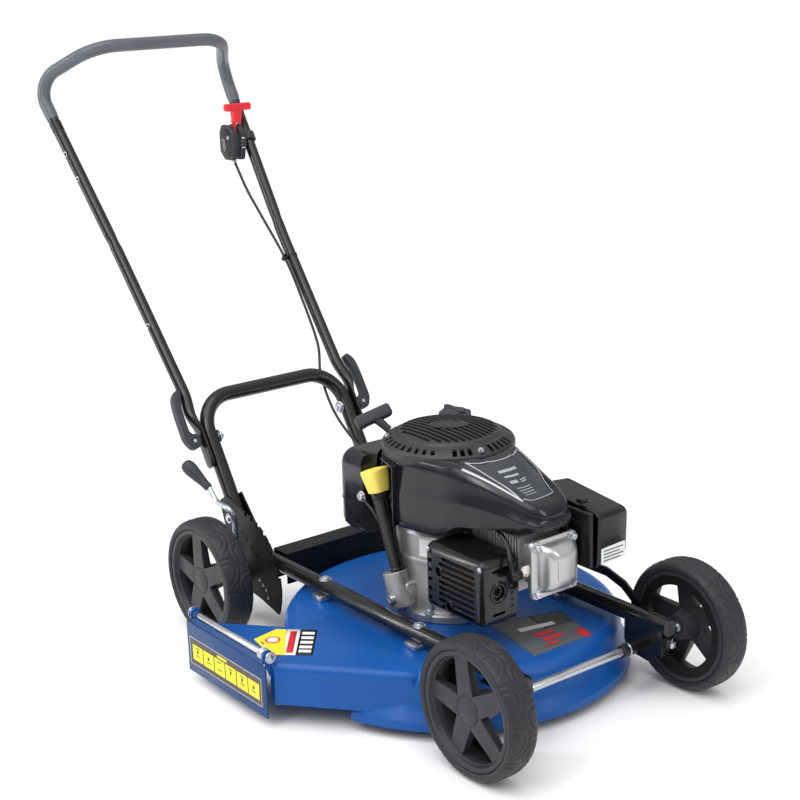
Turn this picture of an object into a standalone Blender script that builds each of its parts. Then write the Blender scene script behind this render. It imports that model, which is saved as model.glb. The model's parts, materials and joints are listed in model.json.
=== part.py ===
"""Petrol rotary utility mower: a round steel deck hung under two tubular rails, a vertical-shaft
engine with a swing-back blade disc, four wheels on two linked crank axles, and a fold-down handle.

The design is drawn in its own frame: the front wheels' axis crosses x = 0, +X is forward, +Y is the
machine's left, +Z is up and the ground is z = 0. One root empty then moves it so that the origin
sits under the middle of the whole machine. Everything is in metres.
"""

from math import asin, atan2, cos, degrees, pi, radians, sin

import bmesh
import bpy
from mathutils import Matrix, Vector

# ---- driving dimensions -------------------------------------------------------------------------
GAP = 0.0003                    # between pieces that touch
SHEET = 0.0025                  # pressed steel of the deck
PLATE = 0.003                   # folded brackets
ROOT_SHIFT = (0.5507, 0.03875, 0.0)

WHEEL_R = 0.100
TYRE_WIDTH = 0.0486
RIM_R = 0.085
SPOKES = 5
SPOKE_WIDTH = 0.026
REAR_AXLE_X = -0.631
FRONT_TRACK = 0.2066            # centre line to the middle of the tyre
REAR_TRACK = 0.2386
STUB_R = 0.006

RAIL_Y = 0.142
RAIL_Z = 0.118
FRAME_TUBE_R = 0.0127
RAIL_REAR_X = -0.668
RAIL_FRONT_X = 0.026
PLATE_IN = RAIL_Y - FRAME_TUBE_R - GAP - PLATE      # inner face of the plates inside the rails
PLATE_OUT = RAIL_Y + FRAME_TUBE_R + GAP             # inner face of the plates outside the rails

CRANK_DX, CRANK_DZ = 0.024, 0.020                   # from a crank pivot to its wheel axle
LINK_DX, LINK_DZ = -0.020, 0.032                    # from a crank pivot to its link pin
PIVOT_Z = WHEEL_R - CRANK_DZ
FRONT_PIVOT_X = -CRANK_DX
REAR_PIVOT_X = REAR_AXLE_X - CRANK_DX
FRONT_SHAFT_R = 0.0064
REAR_SHAFT_R = 0.008
FRONT_ARM_Y = 0.166             # inner face of the front crank arms and of both link arms
REAR_ARM_Y = 0.190              # inner face of the rear wheel arms
ARM = 0.006                     # thickness of the crank arms
LINK_Y = 0.1595
LINK_T = 0.004
LINK_PIN_R = 0.004

AXIS_X = -0.302                 # engine, deck and blade axis
DECK_TOP = 0.098
DECK_RIM = 0.016
CHUTE_Y = -0.338                # open mouth of the discharge chute
CHUTE_FLOOR = 0.034             # lower edge of the chute walls
CHUTE_FRONT, CHUTE_REAR = -0.298, -0.506
HINGE_Y, HINGE_Z = -0.3430, 0.1100
HINGE_R = 0.004

HANDLE_TUBE_R = 0.0111
FOLD_X, FOLD_Z = -0.764, 0.287  # the cam bolts' axis
LEG_ANGLE = radians(58.0)       # slope of the lower handle
LEG = Vector((-cos(LEG_ANGLE), 0.0, sin(LEG_ANGLE)))
LEG_NORMAL = Vector((sin(LEG_ANGLE), 0.0, cos(LEG_ANGLE)))
FLAT_T = 0.008                  # flattened foot of the upper handle
FLAT_Y = RAIL_Y + FRAME_TUBE_R + GAP
CAM_BOLT_R = 0.004
CAM_Y = 0.1765
THROTTLE = Vector((-1.122, 0.1560, 0.7290))

CRANKSHAFT_R = 0.0127
CASE_R = 0.083
SHROUD_R = 0.108
FAN_VANES = 10
SHROUD_LOW, SHROUD_HIGH = 0.250, 0.372
CYLINDER_Y, CYLINDER_Z = 0.003, 0.228
HEAD_X = -0.078
BLADES = 4
BLADE_PIVOT_R = 0.180
BLADE_TIP_R = 0.250
BLADE_BOLT_R = 0.006
DISC_Z = 0.040

ROPE_OUT = Vector((-0.4108, -0.0215, 0.3503))
ROPE_PULL = Vector((-0.0305, -0.0185, 0.0277)).normalized()

SIDES = {"right": -1, "left": 1}


# ---- scene and materials ------------------------------------------------------------------------
def clear_scene():
    for old in list(bpy.data.objects):
        bpy.data.objects.remove(old, do_unlink=True)


def collection(name, hidden=False):
    made = bpy.data.collections.new(name)
    bpy.context.scene.collection.children.link(made)
    made.hide_render = hidden
    return made


def finish(name, colour, roughness, metallic=0.0):
    made = bpy.data.materials.new(name)
    made.use_nodes = True
    shader = made.node_tree.nodes["Principled BSDF"]
    shader.inputs["Base Color"].default_value = (*colour, 1.0)
    shader.inputs["Roughness"].default_value = roughness
    shader.inputs["Metallic"].default_value = metallic
    made.diffuse_color = (*colour, 1.0)
    return made


clear_scene()
MOWER = collection("utility_mower")
CUTTERS = collection("cutters", hidden=True)

BLUE = finish("deck_blue_paint", (0.015, 0.12, 0.45), 0.30)
BLACK = finish("black_powder_coat", (0.012, 0.012, 0.014), 0.35)
CHARCOAL = finish("charcoal_plastic", (0.045, 0.047, 0.052), 0.50)
RUBBER = finish("tyre_rubber", (0.025, 0.026, 0.028), 0.70)
GLOSS = finish("engine_black_plastic", (0.018, 0.018, 0.021), 0.22)
ALLOY = finish("cast_aluminium", (0.62, 0.62, 0.60), 0.45, 0.9)
ZINC = finish("zinc_plate", (0.70, 0.71, 0.72), 0.30, 1.0)
STEEL = finish("hardened_steel", (0.35, 0.35, 0.36), 0.38, 1.0)
GRIP = finish("grey_grip_sleeve", (0.16, 0.17, 0.19), 0.55)
YELLOW = finish("yellow_plastic", (0.85, 0.55, 0.05), 0.40)
RED = finish("red_plastic", (0.75, 0.02, 0.02), 0.35)


# ---- building blocks ----------------------------------------------------------------------------
def new_object(name, data, surface=None, transform=None):
    made = bpy.data.objects.new(name, data)
    MOWER.objects.link(made)
    if transform is not None:
        made.matrix_world = transform
    if surface is not None:
        data.materials.append(surface)
    return made


def from_bmesh(name, shape, surface=None, smooth=False):
    data = bpy.data.meshes.new(name)
    shape.to_mesh(data)
    shape.free()
    if smooth:
        data.shade_smooth()
        data.set_sharp_from_angle(angle=radians(35.0))
    return new_object(name, data, surface)


def box(name, low, high, surface=None):
    """A box between two corners."""
    low, high = Vector(low), Vector(high)
    shape = bmesh.new()
    bmesh.ops.create_cube(shape, size=1.0)
    bmesh.ops.scale(shape, vec=high - low, verts=shape.verts)
    bmesh.ops.translate(shape, vec=(low + high) / 2, verts=shape.verts)
    return from_bmesh(name, shape, surface)


def rod(name, start, end, radius, surface=None, sides=20, end_radius=None):
    """A cylinder or cone between two points."""
    start, end = Vector(start), Vector(end)
    run = end - start
    place = Matrix.Translation((start + end) / 2) @ run.to_track_quat("Z", "Y").to_matrix().to_4x4()
    shape = bmesh.new()
    bmesh.ops.create_cone(shape, cap_ends=True, segments=sides, radius1=radius,
                          radius2=radius if end_radius is None else end_radius,
                          depth=run.length, matrix=place)
    return from_bmesh(name, shape, surface, smooth=True)


def cross_rod(name, x, z, radius, y1, y2, surface=None, sides=20):
    """A cylinder along Y."""
    return rod(name, (x, y1, z), (x, y2, z), radius, surface, sides)


def turned(name, profile, base, axis, surface=None, steps=28, closed=False):
    """A profile of (radius, height) points turned round an axis, listed down its outer side."""
    data = bpy.data.meshes.new(name)
    count = len(profile)
    edges = [(i, (i + 1) % count) for i in range(count if closed else count - 1)]
    data.from_pydata([(r, 0.0, h) for r, h in profile], edges, [])
    place = Matrix.Translation(base) @ Vector(axis).to_track_quat("Z", "Y").to_matrix().to_4x4()
    made = new_object(name, data, surface, place)
    screw = made.modifiers.new("turn", "SCREW")
    screw.axis = "Z"
    screw.steps = screw.render_steps = steps
    screw.use_merge_vertices = True
    screw.merge_threshold = 0.00002
    screw.use_smooth_shade = True
    return made


FACING = {
    "X": Matrix(((0, 0, 1, 0), (1, 0, 0, 0), (0, 1, 0, 0), (0, 0, 0, 1))),
    "Y": Matrix(((1, 0, 0, 0), (0, 0, -1, 0), (0, 1, 0, 0), (0, 0, 0, 1))),
    "Z": Matrix.Identity(4),
}


def plate(name, outline, facing, low, high, surface=None, holes=()):
    """A flat outline with holes, spanning low to high along the axis it faces."""
    data = bpy.data.curves.new(name, "CURVE")
    data.dimensions = "2D"
    data.fill_mode = "BOTH"
    data.extrude = (high - low) / 2
    for ring in (outline, *holes):
        spline = data.splines.new("POLY")
        spline.points.add(len(ring) - 1)
        for point, (a, b) in zip(spline.points, ring):
            point.co = (a, b, 0.0, 1.0)
        spline.use_cyclic_u = True
    middle = {"X": ((low + high) / 2, 0, 0), "Y": (0, (low + high) / 2, 0),
              "Z": (0, 0, (low + high) / 2)}[facing]
    return as_mesh(new_object(name, data, None, Matrix.Translation(middle) @ FACING[facing]), surface)


def tube(name, points, radius, surface=None, sides=12):
    """A round bar along a route of points."""
    data = bpy.data.curves.new(name, "CURVE")
    data.dimensions = "3D"
    data.bevel_depth = radius
    data.bevel_resolution = sides // 4 - 1
    data.use_fill_caps = True
    spline = data.splines.new("POLY")
    spline.points.add(len(points) - 1)
    for point, place in zip(spline.points, points):
        point.co = (*place, 1.0)
    spline.use_smooth = True
    return new_object(name, data, surface)


def as_mesh(source, surface=None):
    """The evaluated shape of an object as a plain welded mesh that a Boolean can use."""
    bpy.context.view_layer.update()
    graph = bpy.context.evaluated_depsgraph_get()
    data = bpy.data.meshes.new_from_object(source.evaluated_get(graph))
    shape = bmesh.new()
    shape.from_mesh(data)
    bmesh.ops.remove_doubles(shape, verts=shape.verts, dist=0.00001)
    bmesh.ops.recalc_face_normals(shape, faces=shape.faces)
    shape.to_mesh(data)
    shape.free()
    name, place = source.name, source.matrix_world.copy()
    bpy.data.objects.remove(source, do_unlink=True)
    data.materials.clear()
    data.transform(place)
    return new_object(name, data, surface)


def hide_helper(helper):
    helper.hide_render = True
    helper.display_type = "WIRE"
    for owner in list(helper.users_collection):
        owner.objects.unlink(helper)
    CUTTERS.objects.link(helper)


def boolean(target, helper, operation):
    change = target.modifiers.new(operation.lower(), "BOOLEAN")
    change.operation = operation
    change.object = helper
    change.solver = "EXACT"
    helper.name = f"{target.name}_{operation.lower()}_{len(target.modifiers)}"
    helper.parent = target
    helper.matrix_parent_inverse = target.matrix_world.inverted()
    hide_helper(helper)
    return target


def cut(target, *helpers):
    for helper in helpers:
        boolean(target, helper, "DIFFERENCE")
    return target


def join(target, *helpers):
    for helper in helpers:
        boolean(target, helper, "UNION")
    return target


def group(name, pieces):
    """Separate solids in one mesh, for use as a cutter."""
    shape = bmesh.new()
    for piece in pieces:
        shape.from_mesh(piece.data)
        bpy.data.objects.remove(piece, do_unlink=True)
    return from_bmesh(name, shape)


def bevel(target, width, segments=2, angle=30.0):
    edge = target.modifiers.new("bevel", "BEVEL")
    edge.width = width
    edge.segments = segments
    edge.limit_method = "ANGLE"
    edge.angle_limit = radians(angle)
    return target


def arc(centre, radius, start, end, count):
    """Points on a circle between two angles in degrees, both ends included."""
    step = (end - start) / (count - 1)
    angles = [radians(start + step * i) for i in range(count)]
    return [(centre[0] + radius * cos(a), centre[1] + radius * sin(a)) for a in angles]


def capsule(a, b, radius, count=7):
    """The outline of a bar with round ends between two points."""
    lean = degrees(atan2(b[1] - a[1], b[0] - a[0]))
    return arc(b, radius, lean - 90, lean + 90, count) + arc(a, radius, lean + 90, lean + 270, count)


def rounded_route(corners, radii, count=7):
    """A route through corners in space, each inner one rounded by an arc."""
    corners = [Vector(c) for c in corners]
    route = [corners[0]]
    for before, corner, after, radius in zip(corners, corners[1:], corners[2:], radii):
        back, on = (before - corner).normalized(), (after - corner).normalized()
        half = back.angle(on) / 2
        reach = radius / abs(sin(half) / cos(half))
        centre = corner + (back + on).normalized() * radius / sin(half)
        first, last = corner + back * reach - centre, corner + on * reach - centre
        route += [centre + first.slerp(last, i / (count - 1)) * radius for i in range(count)]
    return route + [corners[-1]]


def smooth_route(points, per_span=6):
    """A Catmull-Rom curve through the points of a cable's route."""
    points = [Vector(p) for p in points]
    ends = [2 * points[0] - points[1], *points, 2 * points[-1] - points[-2]]
    route = []
    for p0, p1, p2, p3 in zip(ends, ends[1:], ends[2:], ends[3:]):
        for i in range(per_span):
            t = i / per_span
            route.append(0.5 * (2 * p1 + (p2 - p0) * t + (2 * p0 - 5 * p1 + 4 * p2 - p3) * t**2
                                + (3 * p1 - p0 - 3 * p2 + p3) * t**3))
    return route + [points[-1]]


def strip(path, width):
    """The outline of a flat bar that follows a path in its own plane."""
    path = [Vector((a, b)) for a, b in path]
    sides = []
    for i, point in enumerate(path):
        run = (path[min(i + 1, len(path) - 1)] - path[max(i - 1, 0)]).normalized()
        sides.append(Vector((-run.y, run.x)) * width / 2)
    upper = [tuple(p + s) for p, s in zip(path, sides)]
    lower = [tuple(p - s) for p, s in zip(path, sides)]
    return upper + lower[::-1]


def along(outer, inner):
    """Span of |y| values as ordered signed limits for each side."""
    return {name: tuple(sorted((sign * inner, sign * outer))) for name, sign in SIDES.items()}


# ---- deck and chute -----------------------------------------------------------------------------
def deck_profile(inset):
    """Crown, shoulder, skirt and flared rim; inset is the sheet taken off the outside."""
    shoulder = 0.026
    top = DECK_TOP - inset
    rim = DECK_RIM if inset == 0 else DECK_RIM - 0.01
    crown = [(0.0, top)] + [(0.236 + r, top - shoulder + h) for r, h in
                            arc((0, 0), shoulder - inset, 90, 0, 5)]
    skirt = [(0.265 - inset, 0.046), (0.2765 - inset, 0.031), (0.2775 - inset, rim)]
    return crown + skirt + [(0.0, rim)]


def chute_solid(name, inset):
    """The tangential discharge tunnel; it runs past its mouth so that only its length is rounded."""
    front = [Vector((-0.1348, -0.2050)), Vector((CHUTE_FRONT, CHUTE_Y))]
    rear = [Vector((-0.395, -0.243)), Vector((CHUTE_REAR, CHUTE_Y))]
    front = [point + Vector((-0.6, 0.8)) * inset for point in front]
    rear = [point + Vector((0.65, 0.76)) * inset for point in rear]
    front[1].x -= 3 * inset
    rear[1].x += 3 * inset
    past = CHUTE_Y - 0.05
    outline = [(-0.395, -0.150), tuple(rear[0]), tuple(rear[1]), (rear[1].x, past), (front[1].x, past),
               tuple(front[1]), tuple(front[0]), (-0.150, -0.150)]
    block = plate(name, outline, "Z", -0.03, DECK_TOP - inset)
    return bevel(block, 0.014 - inset, 2)


def build_deck():
    centre = (AXIS_X, 0, 0)
    deck = turned("deck", deck_profile(0.0), centre, (0, 0, 1), BLUE, steps=48)
    tunnel = chute_solid("tunnel", 0.0)
    cut(tunnel, box("trim", (-0.60, -0.42, -0.06), (-0.05, -0.10, CHUTE_FLOOR)),
        box("mouth", (-0.60, -0.42, -0.06), (-0.05, CHUTE_Y, 0.12)))
    ears = [box("ear", (x, HINGE_Y - 0.009, HINGE_Z - 0.036), (x + 0.0025, CHUTE_Y + 0.010, HINGE_Z + 0.009))
            for x in (CHUTE_FRONT - 0.0055, CHUTE_REAR + 0.0034)]
    join(tunnel, group("ears", ears))
    join(deck, tunnel)
    cut(deck, turned("hollow", deck_profile(SHEET), centre, (0, 0, 1), steps=48))
    cut(deck, chute_solid("tunnel_hollow", SHEET))
    cut(deck, rod("shaft_hole", (AXIS_X, 0, 0.08), (AXIS_X, 0, 0.12), 0.030))
    cut(deck, rod("rod_hole", (-0.60, HINGE_Y, HINGE_Z), (-0.20, HINGE_Y, HINGE_Z), HINGE_R + GAP, sides=16))
    return deck


def build_deflector():
    """The flap that hangs over the chute's mouth, and the rod that it swings on."""
    rod("deflector_hinge_rod", (CHUTE_REAR - 0.006, HINGE_Y, HINGE_Z),
        (CHUTE_FRONT + 0.006, HINGE_Y, HINGE_Z), HINGE_R, ZINC, 16)
    knuckle_span = CHUTE_REAR + 0.0062, CHUTE_FRONT - 0.0062
    flap = rod("deflector_flap", (knuckle_span[0], HINGE_Y, HINGE_Z), (knuckle_span[1], HINGE_Y, HINGE_Z),
               HINGE_R + GAP + 0.0022, BLUE, 16)
    face = HINGE_Y - 0.0120
    sheet = box("sheet", (CHUTE_REAR - 0.004, face, DECK_RIM + 0.002), (CHUTE_FRONT + 0.006, face + PLATE, 0.096))
    bevel(sheet, 0.0008, 1)
    neck = [(HINGE_Y, HINGE_Z + 0.004), (face, 0.094), (face, 0.088), (face + PLATE, 0.088), (HINGE_Y, HINGE_Z - 0.003)]
    join(flap, sheet, plate("neck", neck, "X", *knuckle_span))
    cut(flap, rod("bore", (-0.60, HINGE_Y, HINGE_Z), (-0.20, HINGE_Y, HINGE_Z), HINGE_R + GAP, sides=16))
    return flap


# ---- frame --------------------------------------------------------------------------------------
MOUNT_X = (-0.440, -0.205)


def build_rails():
    for side, sign in SIDES.items():
        y = sign * RAIL_Y
        rail = rod(f"{side}_rail", (RAIL_REAR_X, y, RAIL_Z), (RAIL_FRONT_X, y, RAIL_Z), FRAME_TUBE_R, BLACK)
        for x in MOUNT_X:
            cut(rail, rod("bolt_hole", (x, y, 0.09), (x, y, 0.15), 0.0043, sides=12))
        for place, x in zip(("rear", "front"), MOUNT_X):
            build_deck_mount(f"deck_mount_{place}_{side}", x, y)


def build_deck_mount(name, x, y):
    """A spacer under the rail with the bolt that clamps deck and rail together."""
    low, high = DECK_TOP + GAP, RAIL_Z - FRAME_TUBE_R - GAP
    mount = box(name, (x - 0.014, y - 0.010, low), (x + 0.014, y + 0.010, high), ZINC)
    top = RAIL_Z + FRAME_TUBE_R
    shank = rod("shank", (x, y, high - 0.002), (x, y, top + 0.002), 0.004, sides=12)
    head = rod("head", (x, y, top + GAP), (x, y, top + 0.0055), 0.009, sides=16, end_radius=0.006)
    join(mount, shank, head)


def build_crossmember():
    """An inverted channel between the rails, ahead of the rear crank."""
    front, rear, low, high = -0.567, -0.606, 0.078, 0.1305
    outline = [(rear, low), (rear, high), (front, high), (front, low), (front - PLATE, low),
               (front - PLATE, high - PLATE), (rear + PLATE, high - PLATE), (rear + PLATE, low)]
    reach = RAIL_Y - FRAME_TUBE_R - GAP
    return plate("rear_crossmember", outline[::-1], "Y", -reach, reach, BLACK)


NOTCH_R = 0.106
NOTCHES = 8
LEVER_SWING = 70.0


def rear_plate_outline(toothed):
    """Side plate in the XZ plane, from the crank pivot up the handle leg."""
    pivot = (REAR_PIVOT_X, PIVOT_Z)
    back = [(-0.700, 0.204), (-0.722, 0.190), (-0.690, 0.100), (-0.684, 0.066), (-0.664, 0.056)]
    if toothed:
        return arc(pivot, NOTCH_R + 0.003, -24, 84, 19) + back + [(-0.600, 0.046)]
    return [(-0.634, 0.056), (-0.618, 0.080), (-0.618, 0.131), (-0.652, 0.150)] + back


def build_rear_brackets():
    """A pair of plates round each rail joined by a web; the right one carries the height notches."""
    names = {"right": "height_quadrant", "left": "left_rear_bracket"}
    for side, sign in SIDES.items():
        outer = along(PLATE_OUT + PLATE, PLATE_OUT)[side]
        inner = along(PLATE_IN + PLATE, PLATE_IN)[side]
        web = along(PLATE_OUT + 0.001, PLATE_IN + 0.001)[side]
        bracket = plate(names[side], rear_plate_outline(side == "right"), "Y", *outer, BLACK)
        join(bracket, plate("inner", rear_plate_outline(False), "Y", *inner))
        join(bracket, box("web", (-0.682, web[0], 0.1005), (-0.622, web[1], 0.1035)))
        cut(bracket, cross_rod("pivot_hole", REAR_PIVOT_X, PIVOT_Z, REAR_SHAFT_R + GAP, -0.2 * sign, 0.2 * sign))
        if side == "right":
            cut(bracket, notch_cutter())


def notch_cutter():
    """Round-bottomed notches at equal steps of the lever's swing."""
    holes = []
    for i in range(NOTCHES):
        turn = radians(83.0 - LEVER_SWING * i / (NOTCHES - 1))
        x, z = REAR_PIVOT_X + NOTCH_R * cos(turn), PIVOT_Z + NOTCH_R * sin(turn)
        holes.append(cross_rod("notch", x, z, 0.0042, -0.170, -0.150, sides=10))
    return group("notches", holes)


def build_front_brackets():
    """A plate inside each rail's front end, with a shelf, a gusset and the bearing of the shaft."""
    x1, x2 = -0.052, 0.022
    outline = [(x1 + 0.010, 0.066), (x1, 0.082), (x1, 0.126), (x2, 0.126), (x2, 0.082), (-0.004, 0.062)]
    for side, sign in SIDES.items():
        inner = along(PLATE_IN + PLATE, PLATE_IN)[side]
        shelf = along(0.1560, PLATE_IN + 0.001)[side]
        bracket = plate(f"{side}_front_bracket", outline[::-1], "Y", *inner, BLACK)
        under = RAIL_Z - FRAME_TUBE_R - GAP
        join(bracket, box("shelf", (x1, shelf[0], under - PLATE), (x2, shelf[1], under)))
        gusset = [(sign * (PLATE_IN + 0.001), 0.074), (sign * 0.1560, under - 0.001),
                  (sign * (PLATE_IN + 0.001), under - 0.001)]
        join(bracket, plate("gusset", gusset[::sign], "X", x2 - PLATE, x2))
        bearing = cross_rod("bearing", FRONT_PIVOT_X, PIVOT_Z, 0.0100, sign * 0.104, sign * 0.1335)
        join(bracket, bearing)
        cut(bracket, cross_rod("bore", FRONT_PIVOT_X, PIVOT_Z, FRONT_SHAFT_R + GAP, sign * 0.09, sign * 0.15))


def build_lower_handle():
    """A hoop from the rails' rear ends up to a crossbar just above the fold bolts."""
    fold = Vector((FOLD_X, 0, FOLD_Z))
    bottom = fold - LEG * 0.1735
    top = fold + LEG * 0.070
    across = Vector((0, RAIL_Y, 0))
    corners = [bottom - across, top - across, top + across, bottom + across]
    hoop = as_mesh(tube("lower_handle", rounded_route(corners, (0.060, 0.060)), FRAME_TUBE_R), BLACK)
    cut(hoop, cross_rod("bolt_holes", FOLD_X, FOLD_Z, CAM_BOLT_R + GAP, -0.2, 0.2, sides=12))
    return hoop


# ---- crank axles and height adjustment ----------------------------------------------------------
def crank_points(pivot_x):
    pivot = (pivot_x, PIVOT_Z)
    axle = (pivot_x + CRANK_DX, PIVOT_Z + CRANK_DZ)
    pin = (pivot_x + LINK_DX, PIVOT_Z + LINK_DZ)
    return pivot, axle, pin


def build_crank(name, pivot_x, shaft_r, arm_y, stub_end, surface):
    """A cross shaft with an arm and a wheel stub at each end, and a link arm on the left."""
    pivot, axle, pin = crank_points(pivot_x)
    crank = cross_rod(name, *pivot, shaft_r, -arm_y - ARM / 2, arm_y + ARM / 2, surface)
    for side in SIDES:
        arm = along(arm_y + ARM, arm_y)[side]
        stub = along(stub_end, arm_y + ARM / 2)[side]
        join(crank, plate("arm", capsule(pivot, axle, 0.012), "Y", *arm))
        join(crank, cross_rod("stub", *axle, STUB_R, *stub))
    link_arm = (FRONT_ARM_Y, FRONT_ARM_Y + ARM)
    join(crank, plate("link_arm", capsule(pivot, pin, 0.0105), "Y", *link_arm))
    join(crank, cross_rod("link_pin", *pin, LINK_PIN_R, LINK_Y - 0.0005, FRONT_ARM_Y + ARM / 2, sides=16))
    return crank


def build_height_link():
    """The flat bar that keeps the two cranks parallel."""
    front, rear = crank_points(FRONT_PIVOT_X)[2], crank_points(REAR_PIVOT_X)[2]
    level = 0.157
    path = [front, (front[0] - 0.018, 0.128), (front[0] - 0.045, 0.147), (front[0] - 0.080, level),
            (rear[0] + 0.080, level), (rear[0] + 0.040, 0.147), (rear[0] + 0.016, 0.130), rear]
    bar = plate("height_link", strip(path, 0.014)[::-1], "Y", LINK_Y, LINK_Y + LINK_T, BLACK)
    for pin in (front, rear):
        join(bar, cross_rod("eye", *pin, 0.0095, LINK_Y, LINK_Y + LINK_T))
    for pin in (front, rear):
        cut(bar, cross_rod("eye_hole", *pin, LINK_PIN_R + GAP, LINK_Y - 0.01, LINK_Y + 0.01, sides=16))
    return bar


LEVER_Y = -0.185


def build_height_lever():
    """A bent rod clamped on the right end of the rear shaft, with a teardrop knob."""
    x, z = REAR_PIVOT_X, PIVOT_Z
    elbow = Vector((x - 0.0498, LEVER_Y, z + 0.1409))
    run = Vector((-0.710, -0.315, 0.631)).normalized()
    tip = elbow + run * 0.014
    corners = [(x + 0.004, LEVER_Y + 0.012, z + 0.012), (x + 0.010, LEVER_Y + 0.008, z + 0.100),
               (x + 0.011, LEVER_Y, z + 0.121), (x - 0.033, LEVER_Y, z + 0.124), elbow, tip]
    lever = as_mesh(tube("height_lever", rounded_route(corners, (0.02, 0.008, 0.015, 0.006), 4), 0.0045), ZINC)
    join(lever, cross_rod("boss", x, z, 0.0145, -0.1640, -0.1800))
    cut(lever, cross_rod("shaft_hole", x, z, REAR_SHAFT_R + GAP, -0.15, -0.20))
    knob_r = ((0.0, 0.0615), (0.009, 0.0593), (0.0145, 0.0503), (0.0150, 0.0425), (0.0115, 0.0224),
              (0.0080, 0.0), (0.0, 0.0))
    knob = turned("height_lever_knob", knob_r, tip - run * 0.012, run, CHARCOAL, steps=16)
    cut(knob, rod("socket", tip - run * 0.03, tip + run * GAP, 0.0045 + GAP, sides=12))
    return lever, knob


# ---- wheels -------------------------------------------------------------------------------------
WHEELS = {
    "front_right": (0.0, -FRONT_TRACK),
    "front_left": (0.0, FRONT_TRACK),
    "rear_right": (REAR_AXLE_X, -REAR_TRACK),
    "rear_left": (REAR_AXLE_X, REAR_TRACK),
}


def build_wheel(name, x, y):
    """A spoked rim and its tyre; the flush hub disc faces away from the machine."""
    out = 1 if y > 0 else -1
    half = TYRE_WIDTH / 2
    centre = Vector((x, y, WHEEL_R))
    axis = (0, out, 0)
    tyre_section = [(RIM_R + GAP, half - 0.002), (0.0930, half), (0.0985, half - 0.007), (WHEEL_R, half - 0.014),
                    (WHEEL_R, 0.014 - half), (0.0985, 0.007 - half), (0.0930, -half), (RIM_R + GAP, 0.002 - half)]
    turned(f"tyre_{name}", tyre_section, centre, axis, RUBBER, steps=28, closed=True)
    hub, web = 0.022, 0.0735
    rim_section = [(0.0, 0.018), (hub - 0.003, 0.018), (hub, 0.016), (web, 0.013), (web + 0.004, 0.021),
                   (RIM_R, 0.021), (RIM_R, -0.021), (web + 0.004, -0.021), (web, 0.005), (hub, 0.004),
                   (hub, -half), (0.0, -half)]
    rim = turned(f"rim_{name}", rim_section, centre, axis, CHARCOAL, steps=28)
    windows = []
    for i in range(SPOKES):
        turn = 90.0 + 360.0 * i / SPOKES + 180.0 / SPOKES
        spread = 180.0 / SPOKES - degrees(asin(SPOKE_WIDTH / 2 / web))
        apex = SPOKE_WIDTH / 2 / sin(pi / SPOKES) + 0.004
        ring = arc((x, WHEEL_R), web - 0.001, turn - spread, turn + spread, 4)
        point = (x + apex * cos(radians(turn)), WHEEL_R + apex * sin(radians(turn)))
        windows.append(plate("window", [point, *ring], "Y", y - 0.03, y + 0.03))
    cut(rim, group("windows", windows))
    cut(rim, cross_rod("axle_bore", x, WHEEL_R, STUB_R + GAP, y - out * 0.03, y + out * 0.0125, sides=20))


# ---- engine -------------------------------------------------------------------------------------
def build_crankcase():
    """A hollow aluminium case with a base flange, a cylinder pad and the oil filler boss."""
    base = DECK_TOP + GAP
    wall = 0.006
    top = SHROUD_LOW - 0.002
    profile = [(CRANKSHAFT_R + GAP, top), (0.060, top), (CASE_R, top - 0.012), (CASE_R, base + 0.016),
               (0.092, base + 0.012), (0.092, base), (CRANKSHAFT_R + GAP, base),
               (CRANKSHAFT_R + GAP, base + wall), (CASE_R - wall, base + wall + 0.004),
               (CASE_R - wall, top - wall - 0.010), (0.056, top - wall), (CRANKSHAFT_R + GAP, top - wall)]
    case = turned("crankcase", profile, (AXIS_X, 0, 0), (0, 0, 1), ALLOY, steps=28, closed=True)
    pad = box("pad", (AXIS_X + CASE_R - 0.012, -0.036, 0.172), (-0.2140, 0.036, 0.244))
    run = (TUBE_TOP - TUBE_FOOT).normalized()
    lean = Vector((-0.003, -0.004, 0.0))
    boss = rod("boss", TUBE_FOOT + lean - run * 0.055, TUBE_FOOT + lean - run * 0.0015, 0.0175)
    foot = box("foot", (-0.324, -0.098, 0.122), (-0.286, -0.076, 0.150))
    join(case, pad, foot, boss)
    cut(case, rod("filler_bore", TUBE_FOOT - run * 0.040, TUBE_FOOT + run * 0.010, 0.0060, sides=12))
    return case


def build_cylinder():
    """The finned barrel and head, pointing forward."""
    z = CYLINDER_Z
    start = -0.2137
    barrel = cross_box("cylinder", start, HEAD_X, 0.030, z, ALLOY)
    for i in range(9):
        x = start + 0.010 + i * 0.0115
        join(barrel, cross_box("fin", x, x + 0.0035, 0.041, z))
    head = cross_box("head", HEAD_X - 0.012, HEAD_X, 0.036, z)
    port = rod("exhaust_port", (-0.150, 0.0, z - 0.012), (-0.150, -0.0432, z - 0.012), 0.015)
    intake = rod("intake_port", (-0.196, 0.0, z), (-0.196, 0.0467, z), 0.013)
    join(barrel, head, port, intake)
    return barrel


def cross_box(name, x1, x2, half, z, surface=None):
    """A square block about the cylinder's axis."""
    return box(name, (x1, CYLINDER_Y - half, z - half), (x2, CYLINDER_Y + half, z + half), surface)


def build_rocker_cover():
    """A pressed cover: a bolting flange with a rounded box standing on it, hollow inside."""
    x, y, z = HEAD_X + GAP, CYLINDER_Y, CYLINDER_Z - 0.002
    cover = box("rocker_cover", (x, y - 0.0435, z - 0.0445), (x + 0.006, y + 0.0435, z + 0.0445), ALLOY)
    dome = box("dome", (x + 0.003, y - 0.032, z - 0.037), (x + 0.029, y + 0.037, z + 0.038))
    bevel(dome, 0.007, 2)
    join(cover, dome)
    return cut(cover, box("hollow", (x - 0.01, y - 0.027, z - 0.032), (x + 0.025, y + 0.032, z + 0.033)))


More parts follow.
